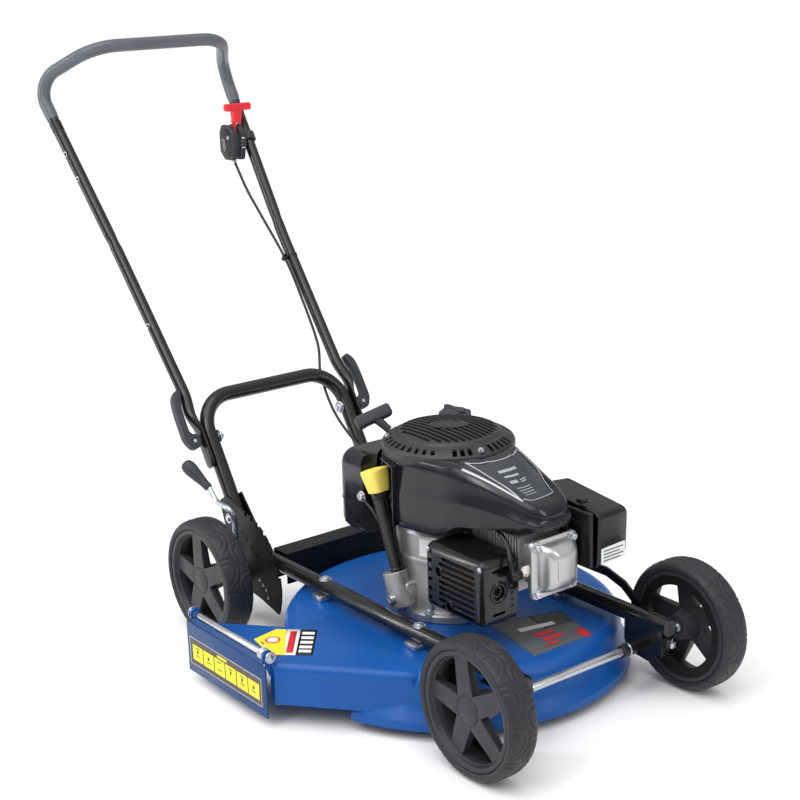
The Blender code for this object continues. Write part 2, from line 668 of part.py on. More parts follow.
def open_box(name, low, high, wall, radius, side, surface):
    """A rounded box of sheet that is open on its low-Y (-1) or high-Y (+1) side."""
    reach = Vector((0, side * 3 * radius, 0))
    low, high = Vector(low), Vector(high)
    edge = high.y if side > 0 else low.y
    walls = Vector((wall, wall, wall))
    outer = (low, high + reach) if side > 0 else (low + reach, high)
    inner = (low + walls, high + 2 * reach - walls) if side > 0 else (low + 2 * reach + walls, high - walls)
    shell = bevel(box(name, *outer, surface), radius, 2)
    hollow = bevel(box("hollow", *inner), radius - wall, 2)
    spare = sorted((edge, edge + 4 * side * radius))
    trim = box("trim", (low.x - 0.01, spare[0], low.z - 0.01), (high.x + 0.01, spare[1], high.z + 0.01))
    return cut(shell, hollow, trim)


MUFFLER_LOW = Vector((-0.2305, -0.110, 0.146))
MUFFLER_HIGH = Vector((-0.101, -0.0430, 0.247))


def build_muffler():
    guard = open_box("muffler_guard", MUFFLER_LOW, MUFFLER_HIGH, 0.002, 0.008, 1, BLACK)
    slots = []
    for i in range(8):
        z = MUFFLER_LOW.z + 0.015 + i * 0.0100
        slots.append(box("slot", (-0.186, MUFFLER_LOW.y - 0.01, z), (-0.118, MUFFLER_LOW.y + 0.01, z + 0.0045)))
    slots.append(rod("outlet", (-0.12, -0.078, 0.197), (-0.09, -0.078, 0.197), 0.014))
    cut(guard, group("slots", slots))
    inset = 0.006
    can = box("muffler", MUFFLER_LOW + Vector((inset, inset, inset)),
              MUFFLER_HIGH + Vector((-inset - 0.004, -0.0005, -inset)), STEEL)
    bevel(can, 0.010, 2)
    cut(can, rod("tail_bore", (-0.14, -0.078, 0.197), (-0.09, -0.078, 0.197), 0.009, sides=16))
    return guard, can


def shroud_solid(name, inset, low):
    """Plan of the blower hood: a round body drawn out forward into a nose."""
    r = SHROUD_R - inset
    nose = -0.066 - inset
    centre = (AXIS_X, 0.0)
    outline = arc(centre, r, 58, 308, 23)
    outline += [(-0.150, -0.068 + inset), (nose - 0.020, -0.040 + inset), (nose, -0.026 + inset),
                (nose, 0.038 - inset), (nose - 0.014, 0.0525 - inset), (-0.192, 0.0525 - inset)]
    hood = plate(name, outline, "Z", low, SHROUD_HIGH - inset, GLOSS)
    bevel(hood, 0.022 - inset, 2, 60)
    slope = [(-0.20, SHROUD_HIGH + 0.002 - inset), (-0.115, 0.350 - inset), (-0.055, 0.300 - inset),
             (0.02, 0.300), (0.02, 0.42), (-0.20, 0.42)]
    cut(hood, plate("slope", slope[::-1], "Y", -0.2, 0.2))
    return hood


def dipstick_recess(name, radius, top):
    """Room for the filler tube and for fingers round the dipstick's cap."""
    return rod(name, (-0.347, -0.101, 0.20), (-0.347, -0.101, top), radius)


def dipstick_path(name, radius):
    """Where the dipstick's cap passes as it is drawn out."""
    run = (TUBE_TOP - TUBE_FOOT).normalized()
    return rod(name, TUBE_TOP - run * 0.010, TUBE_TOP + run * 0.150, radius)


def build_blower_housing():
    """A thin hood over the flywheel, open below and under the starter cover."""
    hood = shroud_solid("blower_housing", 0.0, SHROUD_LOW)
    underside = [(-0.225, SHROUD_LOW - 0.01), (-0.185, 0.274), (-0.060, 0.282), (0.0, 0.282),
                 (0.0, SHROUD_LOW - 0.01)]
    cut(hood, plate("underside", underside[::-1], "Y", -0.2, 0.2))
    hollow = shroud_solid("hood_hollow", 0.003, SHROUD_LOW - 0.02)
    cut(hollow, dipstick_recess("recess_wall", 0.033, 0.3645), dipstick_path("path_wall", 0.0255))
    cut(hood, hollow, dipstick_recess("recess", 0.030, 0.3620), dipstick_path("path", 0.0225))
    cut(hood, rod("crown", (AXIS_X, 0, 0.34), (AXIS_X, 0, 0.40), 0.090, sides=40))
    return hood


def build_starter():
    """The domed grille that closes the hood, and the rope pulley under it."""
    low = SHROUD_HIGH + GAP
    profile = [(0.0, 0.3850), (0.036, 0.3842), (0.064, 0.3815), (0.077, 0.3785), (0.083, 0.3752),
               (0.099, 0.3745), (0.101, low), (0.085, low), (0.078, 0.3750), (0.062, 0.3786), (0.0, 0.3818)]
    cover = turned("starter_cover", profile, (AXIS_X, 0, 0), (0, 0, 1), GLOSS, steps=28)
    bars = []
    for i in range(6):
        y = -0.045 + 0.018 * i
        reach = (0.066**2 - y**2) ** 0.5
        bars.append(box("louvre", (AXIS_X - reach, y - 0.0022, 0.37), (AXIS_X + reach, y + 0.0022, 0.42)))
    cut(cover, group("louvres", bars))
    pulley = turned("starter_pulley", [(0.012, 0.362), (0.044, 0.362), (0.044, 0.359), (0.039, 0.3565),
                                       (0.044, 0.354), (0.044, 0.351), (0.012, 0.351)],
                    (AXIS_X, 0, 0), (0, 0, 1), CHARCOAL, steps=28, closed=True)
    return cover, pulley


def build_rope_grip():
    """The bar grip on the short length of rope that shows at rest."""
    grip_at = ROPE_OUT + ROPE_PULL * 0.010
    across = Vector((0.250, 0.920, 0.280)).normalized()
    grip = rod("starter_grip", grip_at, grip_at + ROPE_PULL * 0.026, 0.0085, CHARCOAL, 16)
    bar_at = grip_at + ROPE_PULL * 0.032
    bar = rod("bar", bar_at - across * 0.030, bar_at + across * 0.030, 0.0090, sides=16)
    rope = rod("rope", ROPE_OUT + ROPE_PULL * 0.001, grip_at + ROPE_PULL * 0.002, 0.0018, sides=10)
    join(grip, bar, rope)
    return grip


def build_fuel_tank():
    """A tank wrapped round the back of the hood, with a raised filler neck."""
    outline = [(-0.452, -0.092), (-0.436, -0.108), (-0.350, -0.108), (-0.300, -0.118), (-0.300, 0.118),
               (-0.436, 0.118), (-0.452, 0.102)]
    tank = plate("fuel_tank", outline[::-1], "Z", 0.214, 0.338, GLOSS)
    bevel(tank, 0.010, 2, 60)
    recess = rod("recess", (AXIS_X, 0, 0.20), (AXIS_X, 0, 0.36), SHROUD_R + 0.0012, sides=48)
    cut(tank, recess)
    cut(tank, box("front_trim", (-0.352, -0.13, 0.20), (-0.29, 0.13, 0.36)))
    cut(tank, rod("dipstick_recess", (-0.358, -0.108, 0.20), (-0.358, -0.108, 0.36), 0.036))
    neck = rod("neck", (FUEL_X, FUEL_Y, 0.325), (FUEL_X, FUEL_Y, 0.353), 0.0200, sides=24)
    join(tank, neck)
    cut(tank, rod("neck_bore", (FUEL_X, FUEL_Y, 0.315), (FUEL_X, FUEL_Y, 0.37), 0.0165, sides=24))
    cap_profile = [(0.0, 0.372), (0.021, 0.372), (0.0265, 0.367), (0.0265, 0.344), (0.0203, 0.344),
                   (0.0203, 0.3533), (0.0, 0.3533)]
    cap = turned("fuel_cap", cap_profile, (FUEL_X, FUEL_Y, 0), (0, 0, 1), CHARCOAL, steps=24)
    return tank, cap


FUEL_X, FUEL_Y = -0.4025, 0.0965
AIR_LOW = Vector((-0.182, 0.0630, 0.207))
AIR_HIGH = Vector((-0.045, 0.1300, 0.310))


def build_air_cleaner():
    """A shallow base and the box cover that closes over it."""
    base = box("air_cleaner_base", (AIR_LOW.x + 0.002, 0.0535, 0.2105), (AIR_HIGH.x - 0.006, 0.0625, 0.296), BLACK)
    bevel(base, 0.004, 1)
    cover = open_box("air_cleaner_cover", AIR_LOW, AIR_HIGH, 0.003, 0.010, -1, BLACK)
    return base, cover


def build_carburettor():
    """The bowl and body between the cylinder's intake and the air cleaner."""
    z = CYLINDER_Z
    body = box("carburettor", (-0.224, 0.0470, z - 0.014), (-0.1823, 0.0720, z + 0.014), ALLOY)
    bowl = rod("bowl", (-0.203, 0.0610, z - 0.036), (-0.203, 0.0610, z - 0.010), 0.0125, sides=20)
    join(body, bowl)
    return body


def build_spark_plug():
    z = CYLINDER_Z - 0.006
    x = -0.0885
    plug = rod("spark_plug", (x, CYLINDER_Y - 0.0363, z), (x, -0.050, z), 0.0065, ALLOY, 12)
    boot = rod("boot", (x, -0.049, z), (x, -0.069, z), 0.0085, sides=16)
    join(plug, boot)
    return plug


TUBE_FOOT = Vector((-0.3128, -0.0955, 0.1715))
TUBE_TOP = Vector((-0.3480, -0.0995, 0.2890))


def build_dipstick():
    """A plastic filler tube with a yellow capped dipstick in it."""
    run = (TUBE_TOP - TUBE_FOOT).normalized()
    pipe = rod("dipstick_tube", TUBE_FOOT, TUBE_TOP, 0.0105, BLACK, 20, end_radius=0.0130)
    cut(pipe, rod("pipe_bore", TUBE_FOOT - run * 0.01, TUBE_TOP + run * 0.01, 0.0068, sides=16))
    base = TUBE_TOP + run * GAP
    cap = rod("dipstick", base, base + run * 0.036, 0.0140, YELLOW, 20, end_radius=0.0190)
    join(cap, rod("blade", base + run * 0.004, TUBE_FOOT - run * 0.028, 0.0020, sides=8))
    return pipe, cap


def build_crankshaft():
    """The crankshaft with its flywheel and cooling fan pressed on above the case."""
    low = SHROUD_LOW + 0.012
    profile = [(0.0, 0.334), (CRANKSHAFT_R, 0.334), (CRANKSHAFT_R, low + 0.030), (0.030, low + 0.030),
               (0.034, low + 0.014), (0.075, low + 0.014), (0.075, low), (CRANKSHAFT_R, low),
               (CRANKSHAFT_R, DISC_Z + 0.014), (0.0, DISC_Z + 0.014)]
    shaft = turned("crankshaft", profile, (AXIS_X, 0, 0), (0, 0, 1), STEEL, steps=28)
    for i in range(FAN_VANES):
        turn = 2 * pi * i / FAN_VANES
        out = Vector((cos(turn), sin(turn)))
        across = Vector((-sin(turn), cos(turn))) * 0.0015
        ring = [out * 0.042 - across, out * 0.073 - across, out * 0.073 + across, out * 0.042 + across]
        join(shaft, plate("vane", [(AXIS_X + p.x, p.y) for p in ring], "Z", low + 0.010, low + 0.034))
    return shaft


def blade_pivot(i, radius=BLADE_PIVOT_R):
    turn = radians(45.0 + 360.0 * i / BLADES)
    return AXIS_X + radius * cos(turn), radius * sin(turn)


def build_blades():
    """A dished disc with swing-back blades on shouldered bolts."""
    z = DISC_Z
    profile = [(CRANKSHAFT_R + GAP, z + 0.034), (0.026, z + 0.034), (0.026, z + 0.003), (0.205, z + 0.003),
               (0.205, z), (0.0, z), (0.0, z + 0.0137), (CRANKSHAFT_R + GAP, z + 0.0137)]
    disc = turned("blade_disc", profile, (AXIS_X, 0, 0), (0, 0, 1), STEEL, steps=28, closed=True)
    for i in range(BLADES):
        x, y = blade_pivot(i)
        bolt = rod("bolt", (x, y, z - 0.0045), (x, y, z + 0.001), BLADE_BOLT_R, sides=12)
        head = rod("head", (x, y, z - 0.0095), (x, y, z - 0.0042), 0.0100, sides=6)
        join(disc, bolt, head)
        blade = plate(f"blade_{i + 1}", capsule((x, y), blade_pivot(i, BLADE_TIP_R - 0.015), 0.0150, 7), "Z",
                      z - 0.0038, z - 0.0005, STEEL)
        cut(blade, rod("hole", (x, y, 0.02), (x, y, 0.05), BLADE_BOLT_R + GAP, sides=12))
    return disc


# ---- handle -------------------------------------------------------------------------------------
HANDLE_LOW = Vector((FOLD_X, 0.1665, FOLD_Z)) + LEG * 0.020
HANDLE_BEND = Vector((-0.8040, 0.1560, 0.3420))
HANDLE_WAIST = Vector((-0.9880, 0.1690, 0.5700))
HANDLE_TOP = Vector((-1.2090, 0.1960, 0.8610))
LOOP = Vector((-1.1000, 0.1320, 0.9240))
SLEEVE_Z = 0.784


def mirrored(point, sign):
    return Vector((point.x, point.y * sign, point.z))


def handle_route():
    half = [HANDLE_LOW, HANDLE_BEND, HANDLE_WAIST, HANDLE_TOP, LOOP]
    corners = [mirrored(p, -1) for p in half] + [mirrored(p, 1) for p in half[::-1]]
    return rounded_route(corners, (0.15, 0.90, 0.042, 0.075, 0.075, 0.042, 0.90, 0.15), 6)


def build_upper_handle():
    """The long loop; each foot is pressed flat and lies outside the lower handle."""
    handle = as_mesh(tube("upper_handle", handle_route(), HANDLE_TUBE_R), BLACK)
    fold = Vector((FOLD_X, 0, FOLD_Z))
    foot, heel = fold - LEG * 0.046, fold + LEG * 0.026
    for side in SIDES:
        span = along(FLAT_Y + FLAT_T, FLAT_Y)[side]
        join(handle, plate("foot", capsule((foot.x, foot.z), (heel.x, heel.z), 0.0150), "Y", *span))
    cut(handle, cross_rod("bolt_holes", FOLD_X, FOLD_Z, CAM_BOLT_R + GAP, -0.2, 0.2, sides=12))
    return handle


def build_grip_sleeve():
    """The grey sleeve over the top of the loop."""
    sleeve = as_mesh(tube("grip_sleeve", handle_route(), HANDLE_TUBE_R + 0.0018), GRIP)
    core = as_mesh(tube("core", handle_route(), HANDLE_TUBE_R + GAP))
    cut(sleeve, core, box("below", (-1.30, -0.30, 0.20), (-0.70, 0.30, SLEEVE_Z)))
    return sleeve


def build_cam_clamps():
    """A quick-release cam lever and its bolt at each fold joint."""
    for side, sign in SIDES.items():
        pivot = Vector((FOLD_X, sign * CAM_Y, FOLD_Z))
        inner = sign * (RAIL_Y - FRAME_TUBE_R - GAP)
        bolt = cross_rod(f"cam_bolt_{side}", FOLD_X, FOLD_Z, CAM_BOLT_R, inner - sign * 0.010,
                         sign * (CAM_Y + 0.002), ZINC, 12)
        nut = cross_rod("nut", FOLD_X, FOLD_Z, 0.0085, inner - sign * 0.0075, inner, sides=6)
        pin = rod("pin", pivot - LEG_NORMAL * 0.0085, pivot + LEG_NORMAL * 0.0085, 0.003, sides=12)
        join(bolt, nut, pin)
        build_cam_lever(f"cam_lever_{side}", pivot, sign)


def build_cam_lever(name, pivot, sign):
    """Cam outline in the plane of the tube and the outward direction, extruded across it."""
    reach = pivot.y * sign - FLAT_Y - FLAT_T - GAP
    cam = arc((0, 0), reach, 130, 360, 13)
    arm = [(0.022, 0.004), (0.060, 0.0035), (0.085, -0.0035), (0.092, 0.001), (0.080, 0.0125), (0.045, 0.0165),
           (0.010, 0.0165)]
    outline = cam + arm
    frame = Matrix((
        (LEG.x, 0.0, LEG_NORMAL.x, pivot.x),
        (LEG.y, sign, LEG_NORMAL.y, pivot.y),
        (LEG.z, 0.0, LEG_NORMAL.z, pivot.z),
        (0.0, 0.0, 0.0, 1.0),
    ))
    lever = plate(name, outline, "Z", -0.008, 0.008, CHARCOAL)
    lever.data.transform(frame)
    if frame.determinant() < 0:
        lever.data.flip_normals()
    slot = box("slot", (-0.030, -0.05, -0.0046), (0.0052, 0.0062, 0.0046))
    slot.data.transform(frame)
    if frame.determinant() < 0:
        slot.data.flip_normals()
    hole = rod("pin_hole", pivot - LEG_NORMAL * 0.0090, pivot + LEG_NORMAL * 0.0090, 0.003 + GAP, sides=12)
    cut(lever, slot, hole)
    return lever


def build_throttle():
    """The throttle box on the left tube, its red lever and the cable down to the engine."""
    x, y, z = THROTTLE
    half = Vector((0.024, 0.0150, 0.033))
    housing = box("throttle_housing", THROTTLE - half, THROTTLE + half, CHARCOAL)
    bevel(housing, 0.006, 2)
    join(housing, box("clamp", (-1.112, y, z - 0.007), (-1.098, 0.1717, z + 0.007)))
    cut(housing, box("slot", (x - 0.016, y - 0.0035, z - 0.012), (x + 0.030, y + 0.0035, z + 0.06)))
    stem = box("throttle_lever", (x + 0.004, y - 0.0028, z + 0.002), (x + 0.012, y + 0.0028, z + 0.062), RED)
    bar = rod("bar", (x + 0.008, y - 0.019, z + 0.066), (x + 0.008, y + 0.037, z + 0.066), 0.0075, sides=12)
    join(stem, bar)
    route = [(x, y, z - 0.0345), (-1.0800, 0.1550, 0.6440), (-1.0360, 0.1560, 0.5990), (-0.9560, 0.1515, 0.5300),
             (-0.9020, 0.1450, 0.4620), (-0.8450, 0.1370, 0.3850), (-0.8120, 0.1230, 0.3300), (-0.7520, 0.1200, 0.2620),
             (-0.640, 0.1250, 0.205), (-0.480, 0.1330, 0.186), (-0.330, 0.1220, 0.190), (-0.2245, 0.0800, 0.228)]
    cable = tube("throttle_cable", smooth_route(route, 4), 0.0025, BLACK, sides=8)
    return housing, stem, cable


# ---- bodies and assembly ------------------------------------------------------------------------
def moving_bodies():
    """Each moving body: its empty's place on the joint axis, the body that carries it, and its pieces."""
    front, _, front_pin = crank_points(FRONT_PIVOT_X)
    rear, _, rear_pin = crank_points(REAR_PIVOT_X)
    bodies = {
        "front_crank_body": ((front[0], 0, front[1]), "mower", ["front_crank"]),
        "rear_crank_body": ((rear[0], 0, rear[1]), "mower",
                            ["rear_crank", "height_lever", "height_lever_knob"]),
        "height_link_body": ((rear_pin[0], LINK_Y, rear_pin[1]), "rear_crank_body", ["height_link"]),
        "deflector_body": ((CHUTE_REAR, HINGE_Y, HINGE_Z), "mower", ["deflector_flap"]),
        "crankshaft_body": ((AXIS_X, 0, DISC_Z), "mower", ["crankshaft", "blade_disc"]),
        "starter_pulley_body": ((AXIS_X, 0, 0.351), "mower", ["starter_pulley"]),
        "starter_grip_body": (ROPE_OUT, "mower", ["starter_grip"]),
        "fuel_cap_body": ((FUEL_X, FUEL_Y, 0.344), "mower", ["fuel_cap"]),
        "dipstick_body": (TUBE_TOP, "mower", ["dipstick"]),
        "handle_body": ((FOLD_X, 0, FOLD_Z), "mower",
                        ["upper_handle", "grip_sleeve", "cam_bolt_right", "cam_bolt_left",
                         "throttle_housing"]),
        "throttle_lever_body": (THROTTLE, "handle_body", ["throttle_lever"]),
    }
    for name, (x, y) in WHEELS.items():
        carrier = "front_crank_body" if x == 0 else "rear_crank_body"
        bodies[f"wheel_{name}_body"] = ((x, y, WHEEL_R), carrier, [f"tyre_{name}", f"rim_{name}"])
    for i in range(BLADES):
        bodies[f"blade_{i + 1}_body"] = ((*blade_pivot(i), DISC_Z), "crankshaft_body", [f"blade_{i + 1}"])
    for side, sign in SIDES.items():
        bodies[f"cam_lever_{side}_body"] = ((FOLD_X, sign * CAM_Y, FOLD_Z), "handle_body", [f"cam_lever_{side}"])
    return bodies


def carry(piece, empty, place):
    piece.parent = empty
    piece.matrix_parent_inverse = Matrix.Translation(-Vector(place))


def assemble():
    """Hang every piece on its body's empty, and every body on the root."""
    root = bpy.data.objects.new("mower", None)
    MOWER.objects.link(root)
    empties = {"mower": root}
    places = {"mower": Vector((0, 0, 0))}
    for name, (place, carrier, pieces) in moving_bodies().items():
        empty = bpy.data.objects.new(name, None)
        empty.empty_display_size = 0.03
        MOWER.objects.link(empty)
        empty.parent = empties[carrier]
        empty.location = Vector(place) - places[carrier]
        empties[name], places[name] = empty, Vector(place)
        for piece in pieces:
            carry(bpy.data.objects[piece], empty, place)
    for piece in MOWER.objects:
        if piece.type != "EMPTY" and piece.parent is None:
            piece.parent = root
    root.location = ROOT_SHIFT


def main():
    build_deck()
    build_deflector()
    build_rails()
    build_crossmember()
    build_rear_brackets()
    build_front_brackets()
    build_lower_handle()
    build_crank("front_crank", FRONT_PIVOT_X, FRONT_SHAFT_R, FRONT_ARM_Y, FRONT_TRACK + 0.012, ZINC)
    build_crank("rear_crank", REAR_PIVOT_X, REAR_SHAFT_R, REAR_ARM_Y, REAR_TRACK + 0.012, STEEL)
    build_height_link()
    build_height_lever()
    for name, (x, y) in WHEELS.items():
        build_wheel(name, x, y)
    build_crankcase()
    build_cylinder()
    build_rocker_cover()
    build_muffler()
    build_blower_housing()
    build_starter()
    build_rope_grip()
    build_fuel_tank()
    build_air_cleaner()
    build_carburettor()
    build_spark_plug()
    build_dipstick()
    build_crankshaft()
    build_blades()
    build_upper_handle()
    build_grip_sleeve()
    build_cam_clamps()
    build_throttle()
    assemble()


main()
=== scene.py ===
"""Looks for the rotary utility mower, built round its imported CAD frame.

Everything is drawn in the mower's own frame (front axle at x = 0, +Y to its left, ground at z = 0)
and then set down where the frame's engine axis is.
"""

import json
from math import atan2, cos, degrees, hypot, pi, radians, sin

import bmesh
import bpy
from mathutils import Matrix, Vector
from mathutils.bvhtree import BVHTree


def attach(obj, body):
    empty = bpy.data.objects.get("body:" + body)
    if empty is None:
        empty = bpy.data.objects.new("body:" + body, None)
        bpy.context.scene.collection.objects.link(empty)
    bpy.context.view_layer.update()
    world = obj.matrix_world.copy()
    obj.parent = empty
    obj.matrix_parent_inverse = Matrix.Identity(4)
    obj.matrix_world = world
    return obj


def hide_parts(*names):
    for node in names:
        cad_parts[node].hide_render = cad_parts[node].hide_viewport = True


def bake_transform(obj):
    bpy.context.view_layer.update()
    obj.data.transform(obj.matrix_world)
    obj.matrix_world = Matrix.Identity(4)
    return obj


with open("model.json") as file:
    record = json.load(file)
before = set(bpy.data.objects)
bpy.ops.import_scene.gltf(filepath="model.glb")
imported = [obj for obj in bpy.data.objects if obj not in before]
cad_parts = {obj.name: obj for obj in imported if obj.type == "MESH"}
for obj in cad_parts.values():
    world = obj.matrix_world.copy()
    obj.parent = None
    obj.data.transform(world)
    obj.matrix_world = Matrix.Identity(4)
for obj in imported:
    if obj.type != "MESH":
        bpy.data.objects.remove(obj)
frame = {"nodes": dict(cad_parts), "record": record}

for spare in ("Cube", "Light", "Camera"):
    if spare in bpy.data.objects:
        bpy.data.objects.remove(bpy.data.objects[spare], do_unlink=True)
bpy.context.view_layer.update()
NODES = frame["nodes"]
JOINTS = {joint["name"]: joint for joint in frame["record"]["behaviour"]["joints"]}

AXIS_X = -0.302
ENGINE = Vector(JOINTS["crankshaft_spin"]["pos_m"])
SHIFT = Vector((ENGINE.x - AXIS_X, ENGINE.y, 0.0))
UP = Vector((0, 0, 1))


# ---- materials ----------------------------------------------------------------------------------
def surface(name, colour, rough, metallic=0.0, coat=0.0, grain=700.0, bump=0.05, shade=0.12, spread=0.06,
            wear=0.0, shine=0.28):
    """A painted, moulded or metal finish with fine relief, slow colour drift and uneven roughness."""
    made = bpy.data.materials.new(name)
    made.use_nodes = True
    tree = made.node_tree
    shader = tree.nodes["Principled BSDF"]
    shader.inputs["Metallic"].default_value = metallic
    shader.inputs["Coat Weight"].default_value = coat
    shader.inputs["Coat Roughness"].default_value = 0.12
    shader.inputs["Specular IOR Level"].default_value = 0.5 if metallic else shine
    place = tree.nodes.new("ShaderNodeTexCoord")

    def cloud(scale, detail):
        node = tree.nodes.new("ShaderNodeTexNoise")
        node.inputs["Scale"].default_value = scale
        node.inputs["Detail"].default_value = detail
        tree.links.new(place.outputs["Object"], node.inputs["Vector"])
        return node.outputs["Fac"]

    drift, fine = cloud(9.0, 4.0), cloud(grain, 2.0)
    tint = tree.nodes.new("ShaderNodeValToRGB")
    tint.color_ramp.elements[0].position = 0.30
    tint.color_ramp.elements[1].position = 0.70
    tint.color_ramp.elements[0].color = (*[c * (1 - shade) for c in colour], 1)
    tint.color_ramp.elements[1].color = (*[min(1, c * (1 + shade)) for c in colour], 1)
    tree.links.new(drift, tint.inputs["Fac"])
    if wear:
        scratch = cloud(160.0, 6.0)
        mark = tree.nodes.new("ShaderNodeMapRange")
        mark.inputs["From Min"].default_value = 0.60
        mark.inputs["From Max"].default_value = 0.72
        mark.inputs["To Max"].default_value = wear
        tree.links.new(scratch, mark.inputs["Value"])
        mix = tree.nodes.new("ShaderNodeMix")
        mix.data_type = "RGBA"
        mix.inputs[7].default_value = (*[min(1, c * 1.6 + 0.03) for c in colour], 1)
        tree.links.new(mark.outputs["Result"], mix.inputs[0])
        tree.links.new(tint.outputs["Color"], mix.inputs[6])
        tree.links.new(mix.outputs[2], shader.inputs["Base Color"])
    else:
        tree.links.new(tint.outputs["Color"], shader.inputs["Base Color"])
    gloss = tree.nodes.new("ShaderNodeMapRange")
    gloss.inputs["From Min"].default_value = 0.3
    gloss.inputs["From Max"].default_value = 0.7
    gloss.inputs["To Min"].default_value = max(0.02, rough - spread)
    gloss.inputs["To Max"].default_value = rough + spread
    tree.links.new(cloud(38.0, 5.0), gloss.inputs["Value"])
    tree.links.new(gloss.outputs["Result"], shader.inputs["Roughness"])
    relief = tree.nodes.new("ShaderNodeBump")
    relief.inputs["Strength"].default_value = bump
    relief.inputs["Distance"].default_value = 0.0004
    tree.links.new(fine, relief.inputs["Height"])
    tree.links.new(relief.outputs["Normal"], shader.inputs["Normal"])
    return made


BLUE = surface("deck_blue", (0.0030, 0.082, 0.340), 0.40, coat=0.05, grain=260, bump=0.05, shade=0.06)
FLAP_BLUE = surface("flap_blue", (0.0030, 0.045, 0.165), 0.36, coat=0.06, grain=260, bump=0.05, shade=0.08)
BLACK = surface("powder_black", (0.0065, 0.0065, 0.008), 0.26, coat=0.30, grain=900, bump=0.08, wear=0.04,
                shine=0.35)
DULL = surface("dull_black", (0.0050, 0.0050, 0.0062), 0.46, grain=1000, bump=0.15, wear=0.03)
SATIN = surface("satin_black", (0.0065, 0.0066, 0.0090), 0.34, coat=0.20, grain=1200, bump=0.12, wear=0.04)
GLOSS = surface("hood_black", (0.0072, 0.0074, 0.0120), 0.22, coat=0.34, grain=420, bump=0.03, shine=0.30)
GRAIN = surface("grille_black", (0.0220, 0.0220, 0.0260), 0.44, grain=1500, bump=0.35, shine=0.50)
CHARCOAL = surface("charcoal_plastic", (0.040, 0.041, 0.047), 0.46, grain=1300, bump=0.22, shade=0.07)
SPOKE = surface("wheel_plastic", (0.030, 0.030, 0.036), 0.40, grain=1300, bump=0.20, shade=0.07)
# Near-black finish for the ring behind the spoke windows: painted shade for the dark inside of the wheel.
WHEEL_SHADE = surface("wheel_shadow", (0.0040, 0.0040, 0.0048), 0.60, grain=900, bump=0.10, shade=0.07)
RUBBER = surface("tyre_rubber", (0.026, 0.026, 0.031), 0.46, grain=900, bump=0.30, shade=0.10, wear=0.05)
ALLOY = surface("cast_alloy", (0.40, 0.39, 0.39), 0.42, metallic=0.75, grain=520, bump=0.45, shade=0.07)
COVER = surface("satin_alloy", (0.50, 0.50, 0.51), 0.33, metallic=0.85, grain=800, bump=0.18, shade=0.05)
ZINC = surface("zinc_plate", (0.55, 0.57, 0.61), 0.27, metallic=0.92, grain=600, bump=0.15, shade=0.10)
STEEL = surface("dark_steel", (0.16, 0.155, 0.15), 0.42, metallic=0.9, grain=500, bump=0.30, wear=0.10)
BURNT = surface("burnt_steel", (0.014, 0.014, 0.015), 0.55, metallic=0.4, grain=500, bump=0.30, wear=0.06)
SLEEVE = surface("grip_sleeve", (0.110, 0.117, 0.135), 0.32, coat=0.15, grain=1000, bump=0.25, shade=0.08)
YELLOW = surface("yellow_plastic", (0.97, 0.78, 0.15), 0.38, grain=700, bump=0.15, shade=0.05)
RED = surface("red_plastic", (0.78, 0.020, 0.030), 0.33, coat=0.2, grain=700, bump=0.10, shade=0.08)
# Silver for printed edges and marks, also used for painted highlights: the strip on the hood shoulder and the glints
# on the quadrant teeth.
SILVER_AND_HIGHLIGHT = surface("silver_foil_and_highlight", (0.50, 0.51, 0.54), 0.36, metallic=0.45, grain=1400, bump=0.12, shade=0.04)
PALE = surface("pale_print", (0.80, 0.80, 0.80), 0.50, grain=1200, bump=0.10, shade=0.05)
GREY_PRINT = surface("grey_print", (0.36, 0.38, 0.41), 0.50, grain=1200, bump=0.10, shade=0.08)
LEMON = surface("lemon_print", (0.83, 0.83, 0.035), 0.50, grain=1200, bump=0.10, shade=0.05)
AMBER = surface("amber_print", (0.90, 0.72, 0.03), 0.50, grain=1200, bump=0.10, shade=0.05)
SLATE = surface("slate_print", (0.115, 0.125, 0.135), 0.45, grain=1200, bump=0.10, shade=0.12)
SLATE_DARK = surface("slate_dark_print", (0.045, 0.050, 0.058), 0.45, grain=1200, bump=0.10, shade=0.12)
TAUPE = surface("taupe_print", (0.105, 0.080, 0.078), 0.50, grain=1200, bump=0.10, shade=0.08)
# Near-black ink for prints, also used as painted shade in the quadrant notches and under the grille louvres.
INK_AND_SHADE = surface("ink_print_and_shade", (0.012, 0.012, 0.015), 0.45, grain=1200, bump=0.10, shade=0.10)
SCARLET = surface("scarlet_print", (0.66, 0.02, 0.03), 0.45, grain=1200, bump=0.10, shade=0.08)
PORCELAIN = surface("plug_white", (0.78, 0.76, 0.70), 0.25, grain=900, bump=0.05, shade=0.05)


# ---- building blocks ----------------------------------------------------------------------------
def smooth(data, angle=32.0):
    data.shade_smooth()
    data.set_sharp_from_angle(angle=radians(angle))


def new_object(name, data, finish=None, angle=32.0):
    """A mesh drawn in the mower's frame, set down in the row frame."""
    if finish is not None:
        data.materials.clear()
        data.materials.append(finish)
    smooth(data, angle)
    made = bpy.data.objects.new(name, data)
    bpy.context.scene.collection.objects.link(made)
    made.location = SHIFT
    return made


def from_bmesh(name, shape, finish=None, angle=32.0):
    data = bpy.data.meshes.new(name)
    bmesh.ops.recalc_face_normals(shape, faces=shape.faces)
    shape.to_mesh(data)
    shape.free()
    return new_object(name, data, finish, angle)


def bake(made):
    """Replaces an object's mesh with its shape after its modifiers."""
    bpy.context.view_layer.update()
    graph = bpy.context.evaluated_depsgraph_get()
    data = bpy.data.meshes.new_from_object(made.evaluated_get(graph))
    made.modifiers.clear()
    made.data = data
    return made


def soften(made, width, segments=3, angle=30.0):
    """Rounds the edges that are sharper than the angle."""
    edge = made.modifiers.new("soften", "BEVEL")
    edge.width = width
    edge.segments = segments
    edge.limit_method = "ANGLE"
    edge.angle_limit = radians(angle)
    edge.harden_normals = False
    bake(made)
    smooth(made.data, 40.0)
    return made


